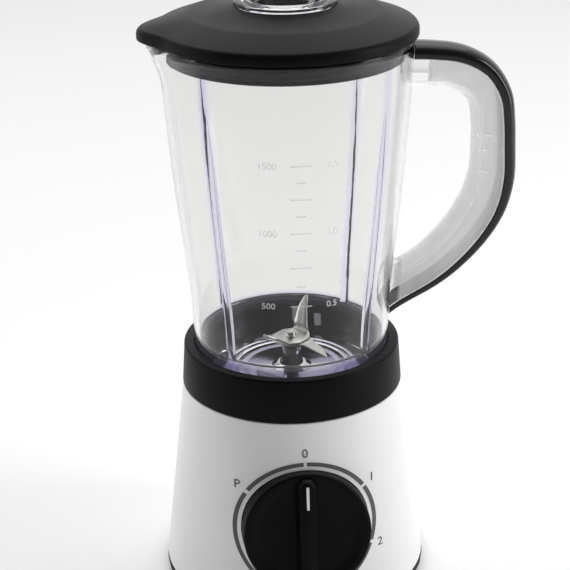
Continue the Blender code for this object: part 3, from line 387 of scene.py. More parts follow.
def clear_moulding(colour, violet, name="clear_moulding"):
    """Clear plastic: violet where it is thick at the foot, darkened there as painted shade, with faint flow
    lines and washing scratches, and a milky glowing layer that paints light in the handle's groove, on the
    lugs and at the foot.
    """
    finish = Finish(name, colour, 0.02, IOR=1.46, Transmission_Weight=1.0, Specular_IOR_Level=0.5)
    finish.shader.inputs["Specular Tint"].default_value = (0.5, 0.5, 0.5, 1.0)
    across, along, height = (finish.axis(axis) for axis in "XYZ")
    thick = 1.0 - height.step(DECK + 2 * MM, DECK + 7 * MM)
    outward = finish.radius().step(FLOOR_RING_INNER, FLOOR_RING_OUTER)
    diagonal = (across.math("ABSOLUTE") - along.math("ABSOLUTE")).math("ABSOLUTE")
    rib = (1.0 - diagonal.step(2.2 * MM, 5.5 * MM)) * 0.45
    # Painted shade: the thick foot's violet is darkened to six tenths, for the dark collar seen through it.
    violet_with_painted_shade = finish.mix(thick * outward, violet, shade(violet, 0.6))
    finish.vary_colour((thick * outward).math("MAXIMUM", rib), colour, violet_with_painted_shade)
    flow = finish.noise(16 * MM, 2.0, (1.0, 1.0, 0.25))
    scratch = finish.noise(1.5 * MM, 3.0, (1.0, 1.0, 0.12))
    proud = finish.radius() - height * JAR_TAPER
    beyond_groove = along.math("ABSOLUTE").step(9.0 * MM, 9.6 * MM)
    groove = proud.step(JAR_CLEAR - 2 * MM, JAR_CLEAR) * (1.0 - beyond_groove)
    finish.feed("Roughness", (flow * 0.02 + scratch * 0.02) + groove * 0.2)
    # Shares of the milky layer that glows at the foot and on the lugs: painted light.
    foot = thick * outward * height.step(DECK - 3 * MM, DECK)
    lug = (1.0 - finish.radius().step(49.9 * MM, 50.5 * MM)) * height.step(133 * MM, 134 * MM)
    lug = lug * (1.0 - height.step(147 * MM, 148 * MM)) * finish.radius().step(44 * MM, 46 * MM)
    painted_glow_share = (foot * 0.04).math("MAXIMUM", lug * 0.45)
    # Painted light: near white in the handle's groove and violet elsewhere, this matt layer glows and
    # lightens the frosted groove, the lugs and the foot.
    painted_milky_light = finish.mix(groove, violet, (0.95, 0.95, 0.955))
    finish.cloud((groove * (flow * 0.5 + 0.42)).math("MAXIMUM", painted_glow_share), painted_milky_light, 0.24)
    scratch = scratch * height.step(DECK + 2 * MM, DECK + 12 * MM)
    return finish.bump(flow * 0.85 + scratch * 0.15, 0.10 * MM, 0.35).material


def satin_steel():
    """Ground steel with a grain that runs along the blade."""
    finish = Finish("satin_steel", (0.62, 0.61, 0.58), 0.3, 1.0)
    grain = finish.noise(0.5 * MM, 3.0, (1.0, 9.0, 1.0))
    cloud = finish.noise(7 * MM, 2.0)
    finish.vary_colour(cloud, (0.52, 0.515, 0.495), (0.68, 0.675, 0.645))
    finish.vary_roughness(grain * 0.6 + cloud * 0.4, 0.2, 0.42)
    return finish.bump(grain, 0.01 * MM, 0.5).material


def bright_steel():
    """Spun bright steel: fine rings round the axis and a few water marks."""
    finish = Finish("bright_steel", (0.7, 0.7, 0.7), 0.08, 1.0)
    rings = (finish.radius() * (TURN / (0.7 * MM))).math("SINE") * 0.5 + 0.5
    marks = finish.noise(9 * MM, 4.0).step(0.45, 0.75)
    finish.vary_colour(marks, (0.74, 0.74, 0.73), (0.6, 0.6, 0.61))
    finish.vary_roughness(marks * 0.6 + rings * 0.4, 0.05, 0.16)
    return finish.bump(rings, 0.003 * MM, 0.4).material


def plated_steel():
    """Zinc-plated fastener with a grained plating."""
    finish = Finish("plated_steel", (0.55, 0.55, 0.56), 0.35, 1.0)
    grain = finish.noise(0.6 * MM, 3.0)
    finish.vary_colour(grain, (0.48, 0.48, 0.5), (0.66, 0.65, 0.62))
    finish.vary_roughness(grain, 0.28, 0.45)
    return finish.bump(grain, 0.01 * MM, 0.5).material


def soft_rubber():
    """Matt black rubber with a dusty bloom."""
    finish = Finish("soft_rubber", (0.02, 0.02, 0.02), 0.8, Specular_IOR_Level=0.3)
    grain = finish.noise(0.5 * MM, 3.0)
    bloom = finish.noise(9 * MM, 3.0)
    finish.vary_colour(bloom, (0.014, 0.014, 0.014), (0.035, 0.035, 0.034))
    finish.vary_roughness(bloom * 0.5 + grain * 0.5, 0.65, 0.9)
    return finish.bump(grain, 0.03 * MM, 0.6).material


def copper_winding():
    """Enamelled copper wire: turns a little over half a millimetre apart, with painted shade between the
    turns and painted highlight on their crests.
    """
    finish = Finish("copper_winding", (0.6, 0.25, 0.1), 0.35, 0.9, Coat_Weight=0.4)
    turns = (finish.axis("Z") * (TURN / (0.6 * MM))).math("SINE") * 0.5 + 0.5
    cloud = finish.noise(4 * MM, 2.0)
    # Painted shade and highlight: the colour darkens in the troughs between turns and pales on their crests,
    # half by the turns and half by random tone.
    finish.vary_colour(cloud * 0.5 + turns * 0.5, (0.42, 0.15, 0.06), (0.72, 0.34, 0.16))
    finish.vary_roughness(turns, 0.25, 0.45)
    return finish.bump(turns, 0.15 * MM, 0.7).material


def laminated_steel():
    """A stack of stamped sheets half a millimetre thick."""
    finish = Finish("laminated_steel", (0.33, 0.33, 0.34), 0.45, 1.0)
    sheets = (finish.axis("Z") * (TURN / (0.5 * MM))).math("SINE") * 0.5 + 0.5
    cloud = finish.noise(6 * MM, 3.0)
    finish.vary_colour(cloud, (0.26, 0.26, 0.28), (0.42, 0.41, 0.4))
    finish.vary_roughness(sheets * 0.5 + cloud * 0.5, 0.35, 0.6)
    return finish.bump(sheets, 0.06 * MM, 0.6).material


def grained(name, dark, light, low, high, metallic=0.0, size=0.8 * MM):
    """A plain material with grain in its tone, gloss and surface."""
    finish = Finish(name, light, (low + high) / 2, metallic)
    grain = finish.noise(size, 3.0)
    finish.vary_colour(grain, dark, light)
    finish.vary_roughness(grain, low, high)
    return finish.bump(grain, 0.02 * MM, 0.5).material


def printed_ink(colour):
    """Pad-printed ink: nearly even, with slightly ragged cover."""
    finish = Finish("printed_ink", colour, 0.45)
    cover = finish.noise(0.4 * MM, 3.0)
    finish.vary_colour(cover, shade(colour, 0.85), shade(colour, 1.2))
    return finish.vary_roughness(cover, 0.38, 0.55).material


def frosted_marking():
    """The jar's raised scale: frosted clear plastic that reads white."""
    finish = Finish("frosted_marking", (0.9, 0.9, 0.9), 0.45, Specular_IOR_Level=0.5)
    grain = finish.noise(0.3 * MM, 2.0)
    finish.vary_colour(grain, (0.84, 0.84, 0.84), (0.95, 0.95, 0.95))
    faint = finish.axis("Z").step(DECK + 49 * MM, DECK + 53 * MM) * 0.62
    finish.feed("Alpha", (grain * 0.2 + 0.56) * (1.0 - faint))
    return finish.vary_roughness(grain, 0.4, 0.6).material


FLOOR_RING_INNER = 47 * MM
FLOOR_RING_OUTER = 52 * MM
# The jar's flare, and the distance from its middle, at height zero, beyond which only the handle lies
JAR_TAPER = 0.0772
JAR_CLEAR = 57.6 * MM - DECK * JAR_TAPER + 5 * MM


# ---------------------------------------------------------------- mesh tools


def finished(name, shape, material, body, replaced=(), smooth=40.0):
    """Makes a bmesh a piece: links it, shades it, rides it on its body and hides the parts it replaces."""
    bmesh.ops.remove_doubles(shape, verts=shape.verts, dist=0.000001)
    bmesh.ops.recalc_face_normals(shape, faces=shape.faces)
    mesh = bpy.data.meshes.new(name)
    shape.to_mesh(mesh)
    shape.free()
    return finished_mesh(name, mesh, material, body, replaced, smooth)


def finished_mesh(name, mesh, material, body, replaced=(), smooth=40.0):
    mesh.materials.clear()
    mesh.materials.append(material)
    mesh.shade_smooth()
    mesh.set_sharp_from_angle(angle=math.radians(smooth))
    piece = bpy.data.objects.new(name, mesh)
    bpy.context.scene.collection.objects.link(piece)
    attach(piece, body)
    if replaced:
        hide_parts(*replaced)
    return piece


def rounded(outline, radii, segments=5):
    """Replaces the outline's corners that radii names by arcs."""
    points = []
    for index, corner in enumerate(outline):
        if index not in radii:
            points.append(tuple(corner))
            continue
        here = Vector(corner)
        before = (Vector(outline[index - 1]) - here).normalized()
        after = (Vector(outline[(index + 1) % len(outline)]) - here).normalized()
        half = before.angle(after) / 2
        centre = here + (before + after).normalized() * radii[index] / math.sin(half)
        start = here + before * radii[index] / math.tan(half) - centre
        end = here + after * radii[index] / math.tan(half) - centre
        sweep = start.angle_signed(end)
        for step in range(segments + 1):
            points.append(tuple(centre + Matrix.Rotation(-sweep * step / segments, 2) @ start))
    return points


def spun(outline, segments=128, closed=True):
    """A bmesh turned about +Z from (radius, height) points."""
    shape = bmesh.new()
    verts = [shape.verts.new((r, 0.0, z)) for r, z in outline]
    edges = [shape.edges.new(pair) for pair in zip(verts, verts[1:])]
    if closed and outline[0][0] > 0:
        edges.append(shape.edges.new((verts[-1], verts[0])))
    bmesh.ops.spin(
        shape, geom=verts + edges, cent=(0, 0, 0), axis=(0, 0, 1), angle=TURN, steps=segments, use_merge=True
    )
    bmesh.ops.remove_doubles(shape, verts=shape.verts, dist=0.000001)
    bmesh.ops.recalc_face_normals(shape, faces=shape.faces)
    return shape


def lofted(sections):
    """A bmesh skinned over closed rings of points, with both ends closed."""
    shape = bmesh.new()
    rings = []
    for section in sections:
        verts = [shape.verts.new(point) for point in section]
        rings.append([shape.edges.new((verts[i - 1], verts[i])) for i in range(len(verts))])
    for near, far in zip(rings, rings[1:]):
        bmesh.ops.bridge_loops(shape, edges=near + far)
    for ring in (rings[0], rings[-1]):
        bmesh.ops.contextual_create(shape, geom=ring)
    bmesh.ops.recalc_face_normals(shape, faces=shape.faces)
    return shape


def box_shape(size, centre, bevel=0.0):
    """A bmesh box with its edges rounded."""
    shape = bmesh.new()
    place = Matrix.Translation(centre) @ Matrix.Diagonal((*size, 1.0))
    bmesh.ops.create_cube(shape, size=1.0, matrix=place)
    if bevel:
        bmesh.ops.bevel(
            shape, geom=shape.edges[:], offset=bevel, affect="EDGES", segments=3, profile=0.5, material=-1
        )
    return shape


def tool(shape, name="tool"):
    """A bmesh as a loose object, for a Boolean."""
    mesh = bpy.data.meshes.new(name)
    shape.to_mesh(mesh)
    shape.free()
    piece = bpy.data.objects.new(name, mesh)
    bpy.context.scene.collection.objects.link(piece)
    return piece


def combined(base, *steps):
    """A mesh made from a bmesh by Boolean steps, each (operation, bmesh); the helpers are removed."""
    solid = tool(base)
    helpers = []
    for operation, shape in steps:
        helper = tool(shape)
        helpers.append(helper)
        cut = solid.modifiers.new("cut", "BOOLEAN")
        cut.operation = operation
        cut.object = helper
        cut.solver = "EXACT"
    mesh = as_plain_mesh(solid)
    for piece in (solid, *helpers):
        bpy.data.objects.remove(piece, do_unlink=True)
    return mesh


def as_plain_mesh(piece):
    """The mesh of an object as its modifiers leave it, in world space."""
    bpy.context.view_layer.update()
    graph = bpy.context.evaluated_depsgraph_get()
    mesh = bpy.data.meshes.new_from_object(piece.evaluated_get(graph))
    mesh.transform(piece.matrix_world)
    return mesh


def mesh_shape(mesh):
    """A mesh back as a bmesh; the mesh is dropped."""
    shape = bmesh.new()
    shape.from_mesh(mesh)
    bpy.data.meshes.remove(mesh)
    return shape


def text_shape(words, height, thickness):
    """Flat lettering as a bmesh, centred, in the XY plane, with +Z out of the face."""
    curve = bpy.data.curves.new("lettering", "FONT")
    curve.body = words
    curve.align_x = "CENTER"
    curve.align_y = "CENTER"
    curve.size = height / CAPITAL_SHARE
    curve.extrude = thickness / 2
    curve.resolution_u = 6
    piece = bpy.data.objects.new("lettering", curve)
    bpy.context.scene.collection.objects.link(piece)
    mesh = as_plain_mesh(piece)
    bpy.data.objects.remove(piece, do_unlink=True)
    shape = mesh_shape(mesh)
    bmesh.ops.remove_doubles(shape, verts=shape.verts, dist=0.000001)
    return shape


CAPITAL_SHARE = 0.73


def moved(shape, place):
    """Moves every vertex of a bmesh by a function of its position."""
    for vertex in shape.verts:
        vertex.co = place(vertex.co.copy())
    return shape


def merged(shapes):
    """Several bmeshes as one."""
    whole = bmesh.new()
    for shape in shapes:
        mesh = bpy.data.meshes.new("part")
        shape.to_mesh(mesh)
        shape.free()
        whole.from_mesh(mesh)
        bpy.data.meshes.remove(mesh)
    return whole


def smooth_line(points, steps):
    """A Catmull-Rom line through the points, with so many steps between each two."""
    path = [Vector(p) for p in points]
    ends = [2 * path[0] - path[1], *path, 2 * path[-1] - path[-2]]
    line = []
    for a, b, c, d in zip(ends, ends[1:], ends[2:], ends[3:]):
        for step in range(steps):
            t = step / steps
            curve = (c - a) * t + (2 * a - 5 * b + 4 * c - d) * t**2 + (3 * b - a - 3 * c + d) * t**3
            line.append(b + 0.5 * curve)
    line.append(path[-1])
    return line


# ---------------------------------------------------------------- base


def cone_radius(height):
    """Radius of the base's outside at a height."""
    sizes = bpy.context.scene.blender_base
    return sizes.top_radius + (sizes.foot_radius - sizes.top_radius) * (1 - height / COLLAR_FOOT)


def dial_frame():
    """The dial's centre on the slope, and its across, up and outward directions."""
    joint = next(j for j in frame["joints"] if j["name"] == "dial_turn")
    outward = Vector(joint["axis"]).normalized()
    across = Vector((1, 0, 0))
    return Vector(joint["pos_m"]), across, outward.cross(across), outward


def on_dial(point):
    """A point drawn in the dial's own plane, +Z outwards, taken to its place."""
    centre, across, up, outward = dial_frame()
    return centre + across * point.x + up * point.y + outward * point.z


def on_slope(point):
    """A point drawn in the dial's plane, laid on the cone behind it."""
    centre, across, up, outward = dial_frame()
    place = centre + across * point.x + up * point.y
    back = 0.0
    for _ in range(6):
        spot = place - outward * back
        back += math.hypot(spot.x, spot.y) - cone_radius(spot.z)
    return place - outward * (back - point.z)


class BLENDER_OT_housing(bpy.types.Operator):
    """Build the white cone with its lip, its foot and the dial's cup"""

    bl_idname = "blender_kit.housing"
    bl_label = "Housing"

    def execute(self, context):
        sizes = context.scene.blender_base
        dial = context.scene.blender_dial
        low = PLATE_TOP + 0.3 * MM
        top = COLLAR_FOOT
        opening = sizes.well_radius + 2.5 * MM
        outline = [
            (opening, top),
            (sizes.top_radius - 0.2 * MM, top),
            (cone_radius(low), low),
            (cone_radius(low) - sizes.wall, low),
            (sizes.top_radius - sizes.wall, top - sizes.wall),
            (opening, top - sizes.wall),
        ]
        shell = spun(rounded(outline, {1: 0.9 * MM, 2: 1.6 * MM}), 160)
        inside = [
            (0.0, top - 0.4 * MM),
            (sizes.top_radius - 0.5 * MM, top - 0.4 * MM),
            (cone_radius(low) - 0.5 * MM, low + 0.4 * MM),
            (0.0, low + 0.4 * MM),
        ]
        cup = self.disc(dial.radius + 3 * MM, -dial.recess - sizes.wall, dial.recess)
        cup = mesh_shape(combined(cup, ("INTERSECT", spun(inside, 160))))
        rim = self.disc(dial.radius + 0.5 * MM, -dial.recess, 2 * dial.recess)
        spindle = self.disc(4 * MM, -2 * dial.recess, 0.0, 32)
        mesh = combined(shell, ("UNION", cup), ("DIFFERENCE", rim), ("DIFFERENCE", spindle))
        white = white_shell(sizes.white)
        finished_mesh("housing", mesh, white, "base", ["base_housing"], 35)
        return {"FINISHED"}

    def disc(self, radius, low, high, segments=128):
        return moved(spun([(0.0, high), (radius, high), (radius, low), (0.0, low)], segments), on_dial)


class BLENDER_OT_collar(bpy.types.Operator):
    """Build the black collar, with its edge, its deck and the well for the jar"""

    bl_idname = "blender_kit.collar"
    bl_label = "Collar"

    def execute(self, context):
        sizes = context.scene.blender_base
        well_outer = sizes.well_radius + 2.2 * MM
        under = SEAT - 2.5 * MM
        hole = 15 * MM
        outline = [
            (hole, SEAT),
            (sizes.well_radius, SEAT),
            (sizes.well_radius, DECK),
            (sizes.collar_radius, DECK),
            (sizes.top_radius, COLLAR_FOOT + 0.3 * MM),
            (well_outer, COLLAR_FOOT + 0.3 * MM),
            (well_outer, under),
            (hole, under),
        ]
        shape = spun(rounded(outline, {1: 1.5 * MM, 2: 0.4 * MM, 3: 1.7 * MM, 4: 0.6 * MM}), 160)
        black = black_satin(sizes.black)
        finished("collar", shape, black, "base", ["base_collar"], 35)
        return {"FINISHED"}


class BLENDER_OT_dial(bpy.types.Operator):
    """Build the knob with its dished face, its rounded edge, its grip and its pointer"""

    bl_idname = "blender_kit.dial"
    bl_label = "Dial"

    def execute(self, context):
        sizes = context.scene.blender_dial
        low = -sizes.recess + 0.5 * MM
        outline = [
            (0.0, sizes.face - 2.2 * MM),
            (sizes.radius - 9 * MM, sizes.face - 1.6 * MM),
            (sizes.radius - 4 * MM, sizes.face),
            (sizes.radius, sizes.face),
            (sizes.radius, low),
            (0.0, low),
        ]
        knob = spun(rounded(outline, {1: 5 * MM, 2: 3 * MM, 3: 1.8 * MM}), 144)
        grip = self.grip(sizes)
        mesh = combined(moved(knob, on_dial), ("UNION", moved(grip, on_dial)))
        black = black_satin(context.scene.blender_base.black)
        finished_mesh("dial_knob", mesh, black, "dial", ["control_dial"], 35)
        pointer = box_shape((1.6 * MM, 14 * MM, 0.3 * MM), (0, sizes.radius - 13 * MM, 10.1 * MM), 0.12 * MM)
        finished("dial_pointer", moved(pointer, on_dial), frosted_ink(), "dial")
        return {"FINISHED"}

    def grip(self, sizes):
        """A bar across the face, narrower at its crest and rounded at its ends."""
        reach = sizes.radius - 3 * MM
        crest = 10 * MM
        sections = []
        for share, half in ((-0.1, 7.2), (0.35, 6.6), (0.8, 5.2), (0.95, 4.6), (1.0, 3.6)):
            level = crest * share
            half *= MM
            pull = 0.0 if share < 0.9 else 1.6 * MM * (share - 0.9) / 0.1
            ring = []
            for side in (1, -1):
                for step in range(13):
                    angle = math.pi * step / 12 + (0 if side > 0 else math.pi)
                    x = (half - pull * 0.3) * math.cos(angle)
                    y = side * (reach - pull - half) + (half - pull * 0.3) * math.sin(angle)
                    ring.append(Vector((x, y, level)))
            sections.append(ring)
        return lofted(sections)


def frosted_ink():
    """White ink for the knob's pointer."""
    return grained("white_ink", (0.78, 0.78, 0.77), (0.86, 0.86, 0.85), 0.35, 0.5)


class BLENDER_OT_dial_scale(bpy.types.Operator):
    """Print the broken ring and the figures round the dial"""

    bl_idname = "blender_kit.dial_scale"
    bl_label = "Dial scale"

    figures = (("P", 55), ("0", 0), ("1", -57), ("2", -110))

    def execute(self, context):
        sizes = context.scene.blender_dial
        gap = 0.9 * MM / sizes.ring_inner
        stops = [math.radians(90 + angle) for _, angle in self.figures]
        ends = [*stops, stops[0] - TURN + math.radians(1)]
        arcs = []
        for start, end in zip(ends, ends[1:]):
            arcs.append(self.arc(sizes, start - gap, end + gap))
        ring = moved(merged(arcs), on_slope)
        ink = printed_ink(context.scene.blender_base.ink)
        finished("dial_ring_print", ring, ink, "base")
        figures = []
        for word, angle in self.figures:
            height = sizes.figure_height
            reach = sizes.ring_outer + 2.6 * MM + height / 2
            turn = math.radians(90 + angle)
            spot = Vector((reach * math.cos(turn), reach * math.sin(turn), 0.0))
            figure = text_shape(word, height, 0.1 * MM)
            figures.append(moved(figure, lambda p, spot=spot: p + spot + Vector((0, 0, 0.02 * MM))))
        finished("dial_figures_print", moved(merged(figures), on_slope), ink, "base")
        return {"FINISHED"}

    def arc(self, sizes, start, end):
        """A flat strip of the ring from one angle down to another, a hair proud of the slope."""
        steps = max(8, int(abs(start - end) * 40))
        sections = []
        for step in range(steps + 1):
            angle = start + (end - start) * step / steps
            ring = []
            for radius, level in (
                (sizes.ring_inner, 0.05),
                (sizes.ring_outer, 0.05),
                (sizes.ring_outer, -0.1),
                (sizes.ring_inner, -0.1),
            ):
                ring.append(Vector((radius * math.cos(angle), radius * math.sin(angle), level * MM)))
            sections.append(ring)
        return lofted(sections)


# ---------------------------------------------------------------- jar


def jar_radius(height):
    """Outer radius of the jar at a height above the deck, on a smooth line through its swells."""
    spot = min(max(height / JAR_HEIGHT, 0.0), 1.0)
    swells = [JAR_SWELL[0], *JAR_SWELL, JAR_SWELL[-1]]
    for a, b, c, d in zip(swells, swells[1:], swells[2:], swells[3:]):
        if b[0] <= spot <= c[0] and c[0] > b[0]:
            t = (spot - b[0]) / (c[0] - b[0])
            before = (c[1] - a[1]) / max(c[0] - a[0], 0.01) * (c[0] - b[0])
            after = (d[1] - b[1]) / max(d[0] - b[0], 0.01) * (c[0] - b[0])
            swell = (
                (2 * t**3 - 3 * t**2 + 1) * b[1]
                + (t**3 - 2 * t**2 + t) * before
                + (3 * t**2 - 2 * t**3) * c[1]
                + (t**3 - t**2) * after
            )
            return bpy.context.scene.blender_jar.deck_radius + swell
    return bpy.context.scene.blender_jar.deck_radius


def jar_levels(count=26):
    """Heights above the deck for the jar's outline, top first."""
    return [JAR_HEIGHT * (1 - i / count) for i in range(count + 1)]


def spout(point):
    """Draws the rim out at -X, fading below the rim and to each side."""
    reach = bpy.context.scene.blender_jar.spout_reach
    drop, half = 24 * MM, math.radians(24)
    radius = math.hypot(point.x, point.y)
    angle = abs(math.atan2(point.y, -point.x))
    if radius < 50 * MM or angle >= half or point.z < RIM - drop:
        return point
    fade = 0.5 * (1 + math.cos(math.pi * angle / half))
    rise = min(1.0, (point.z - RIM + drop) / drop)
    scale = 1 + reach * fade * rise**1.5 / radius
    return Vector((point.x * scale, point.y * scale, point.z))


def handle_stations(steps=6):
    """The handle's line as (place, outward direction) pairs in its plane."""
    line = smooth_line(HANDLE_LINE, steps)
    stations = []
    for i, point in enumerate(line):
        along = (line[min(i + 1, len(line) - 1)] - line[max(i - 1, 0)]).normalized()
        stations.append((Vector((point.x, 0, DECK + point.y)), Vector((along.y, 0, -along.x))))
    return stations


def handle_solid(stations, section):
    """Sweeps section(share), a list of (outwards, sideways) points, along the handle."""
    rings = []
    for i, (place, outward) in enumerate(stations):
        points = section(i / (len(stations) - 1))
        rings.append([place + outward * out + Vector((0, side, 0)) for out, side in points])
    return lofted(rings)


def round_channel(half, depth, lip, steps=12):
    """A U: straight flanks near the parting line and a half ellipse on the finger side."""
    straight = depth * 0.42
    points = [(lip, half)]
    for step in range(steps + 1):
        angle = math.pi * step / steps
        points.append((-straight - (depth - straight) * math.sin(angle), half * math.cos(angle)))
    points.append((lip, -half))
    return points


class BLENDER_OT_jar(bpy.types.Operator):
    """Build the clear jar with its floor, ribs, spout and the handle's channel"""

    bl_idname = "blender_kit.jar"
    bl_label = "Jar"

    def execute(self, context):
        sizes = context.scene.blender_jar
        handle = context.scene.blender_handle
        stations = handle_stations()
        half = handle.width / 2
        body = spun(self.outside(sizes), 160)

        def depth(share):
            spot = min(share * (len(CHANNEL_SHARES) - 1), len(CHANNEL_SHARES) - 1.001)
            near, far = CHANNEL_SHARES[int(spot)], CHANNEL_SHARES[int(spot) + 1]
            return handle.depth * (near + (far - near) * (spot - int(spot)))

        channel = handle_solid(stations, lambda s: round_channel(half, depth(s), 0.0))
        inner = half - handle.wall
        count = len(stations)
        first, last = 2, int(count * 0.93)

        def groove_section(share):
            along = (first + share * (last - 1 - first)) / (count - 1)
            return round_channel(inner, depth(along) - handle.wall, 2 * MM)

        groove = handle_solid(stations[first:last], groove_section)
        cavity = moved(spun(self.inside(sizes), 160), spout)
        under = spun([(0.0, FLOOR_UNDER), (53.5 * MM, FLOOR_UNDER), (53.5 * MM, 0.0), (0.0, 0.0)], 128)
        hole = spun([(0.0, DECK), (15.7 * MM, DECK), (15.7 * MM, SEAT), (0.0, SEAT)], 64)
        steps = [
            ("UNION", mesh_shape(combined(channel, ("DIFFERENCE", groove)))),
            ("DIFFERENCE", cavity),
            ("DIFFERENCE", under),
            ("DIFFERENCE", hole),
        ]
        steps += [("UNION", self.rib(sizes, math.radians(angle))) for angle in RIB_ANGLES]
        steps += [("UNION", tab) for tab in self.tabs(stations, handle)]
        for x, size, level in ((7.5, (3, 3, 10), 141), (22, (5, 3.5, 8), 138)):
            inner = sizes.deck_radius - sizes.wall - sizes.ledge_width
            y = math.sqrt((inner / MM) ** 2 - x**2)
            centre = (x * MM, y * MM, level * MM)
            steps.append(("UNION", box_shape([side * MM for side in size], centre, 0.8 * MM)))
        mesh = combined(moved(body, spout), *steps)
        clear = clear_moulding(sizes.clear, sizes.violet)
        finished_mesh("jar", mesh, clear, "jar", ["jar_body"], 40)
        return {"FINISHED"}

    def outside(self, sizes):
        points = [(0.0, RIM)]
        points += [(jar_radius(h), DECK + h) for h in jar_levels()]
        points += [(sizes.foot_radius, JAR_FOOT), (0.0, JAR_FOOT)]
        return rounded(points, {1: 1.3 * MM, len(points) - 2: 1.2 * MM})

    def inside(self, sizes):
        over = 4 * MM
        mouth = jar_radius(JAR_HEIGHT) - sizes.wall
        points = [(0.0, RIM + over), (mouth + over, RIM + over)]
        points += [(mouth + 0.6 * MM, RIM), (mouth, RIM - 0.8 * MM)]
        ledge = sizes.ledge_height
        inner = jar_radius(ledge) - sizes.wall
        points += [(jar_radius(h) - sizes.wall, DECK + h) for h in jar_levels()[1:] if h > ledge + MM]
        corner = len(points)
        points += [(inner, DECK + ledge), (inner - sizes.ledge_width, DECK + ledge)]
        points += [(inner - sizes.ledge_width, FLOOR), (0.0, FLOOR)]
        return rounded(points, {corner: 0.8 * MM, corner + 1: 1.2 * MM, corner + 2: 6 * MM}, 8)

    def rib(self, sizes, angle):
        """A round-backed rib up the inside of the wall: wide at its foot, drawn to a point at its top."""
        out = Vector((math.cos(angle), math.sin(angle), 0))
        side = Vector((-out.y, out.x, 0))
        bottom, top, steps = sizes.ledge_height - 1.5 * MM, 151 * MM, 28
        sections = []
        for step in range(steps + 1):
            along = step / steps
            height = bottom + (top - bottom) * along
            grow = min(1.0, (1 - along) / 0.25) ** 0.5
            half = max(0.4 * MM, sizes.rib_width / 2 * (1 - 0.4 * along) * grow)
            depth = max(0.2 * MM, sizes.rib_depth * (1 - 0.3 * along) * grow)
            wall = jar_radius(height) - sizes.wall
            soft = min(0.9 * MM, half * 0.6, depth * 0.6)
            ring = []
            for side_sign, first in ((1, 0.0), (-1, math.pi / 2)):
                for turn in range(5):
                    a = first + math.pi / 2 * turn / 4
                    middle = side * side_sign * (half - soft) + out * (wall - depth + soft)
                    ring.append(middle + side * soft * math.cos(a) - out * soft * math.sin(a))
            ring += [out * (wall + sizes.wall / 2) - side * half, out * (wall + sizes.wall / 2) + side * half]
            sections.append([p + Vector((0, 0, DECK + height)) for p in ring])
        return lofted(sections)

    def tabs(self, stations, handle):
        """Cross walls and a snap block inside the handle's channel."""
        inner = handle.width / 2 - handle.wall + 0.4 * MM
        thick = 0.8 * MM
        tabs = []
        for height, deep in ((122 * MM, 9 * MM), (113 * MM, 6 * MM), (100 * MM, 6 * MM)):
            place = min(stations, key=lambda s: abs(s[0].z - DECK - height) + (s[0].x < 110 * MM))[0]
            centre = Vector((place.x - handle.depth + deep / 2 + handle.wall - 0.5 * MM, 0, DECK + height))
            tabs.append(box_shape((deep, 2 * inner, thick), centre, 0.2 * MM))
        return tabs


class BLENDER_OT_graduations(bpy.types.Operator):
    """Mould the raised scale on the front of the jar"""

    bl_idname = "blender_kit.graduations"
    bl_label = "Graduations"

    # Heights above the deck of the lines, 125 mL apart, from 500 mL up
    heights = (44.3, 56.6, 68.2, 78.9, 89.2, 99.4, 109.4, 119.2, 128.8)
    labels = {0: ("500", "0.5"), 4: ("1000", "1.0"), 8: ("1500", "1.5")}

    def execute(self, context):
        marks = []
        for index, height in enumerate(self.heights):
            long_line = index % 2 == 0
            width = (12 if long_line else 5.6) * MM
            line = box_shape((width, 0.7 * MM, 0.2 * MM), (0, 0, 0))
            long_edges = [e for e in line.edges if abs(e.verts[0].co.x - e.verts[1].co.x) > MM]
            bmesh.ops.subdivide_edges(line, edges=long_edges, cuts=8)
            marks.append(self.on_wall(line, 0.0, height * MM))
            for word, side in zip(self.labels.get(index, ()), (-1, 1)):
                letters = text_shape(word, 3.9 * MM, 0.2 * MM)
                marks.append(self.on_wall(letters, side * (18.5 if side < 0 else 17.5) * MM, height * MM))
        finished("jar_scale", merged(marks), frosted_marking(), "jar")
        return {"FINISHED"}

    def on_wall(self, shape, across, height):
        """Wraps a flat shape on the front of the jar's wall."""

        def place(point):
            level = height + point.y
            radius = jar_radius(level) + point.z + 0.06 * MM
            angle = (across + point.x) / jar_radius(level) - math.pi / 2
            return Vector((radius * math.cos(angle), radius * math.sin(angle), DECK + level))

        return moved(shape, place)


class BLENDER_OT_handle_cover(bpy.types.Operator):
    """Build the crowned black cover over the handle's channel"""

    bl_idname = "blender_kit.handle_cover"
    bl_label = "Handle cover"

    def execute(self, context):
        sizes = context.scene.blender_handle
        half = sizes.width / 2 - 0.1 * MM
        stations = handle_stations()

        def section(share):
            deep = sizes.cover_end + (sizes.cover_depth - sizes.cover_end) * min(1.0, share / 0.45)
            edge = 0.35 * deep
            points = [(0.35 * MM, half - 0.5 * MM), (0.35 * MM, -half + 0.5 * MM), (0.9 * MM, -half)]
            for step in range(17):
                angle = math.pi * step / 16
                points.append((edge + (deep - edge) * math.sin(angle) ** 0.8, -half * math.cos(angle)))
            points.append((0.9 * MM, half))
            return points

        cover = handle_solid(stations, section)
        grown = [(0.0, RIM)] + [(jar_radius(h) + 0.35 * MM, DECK + h) for h in jar_levels()]
        jar = spun(grown + [(57.2 * MM, JAR_FOOT), (0.0, JAR_FOOT)], 160)
        mesh = combined(cover, ("DIFFERENCE", jar))
        gloss = black_gloss((0.008, 0.008, 0.008))
        finished_mesh("grip_cover", mesh, gloss, "jar", ["handle_cover"], 40)
        return {"FINISHED"}


# ---------------------------------------------------------------- blade unit


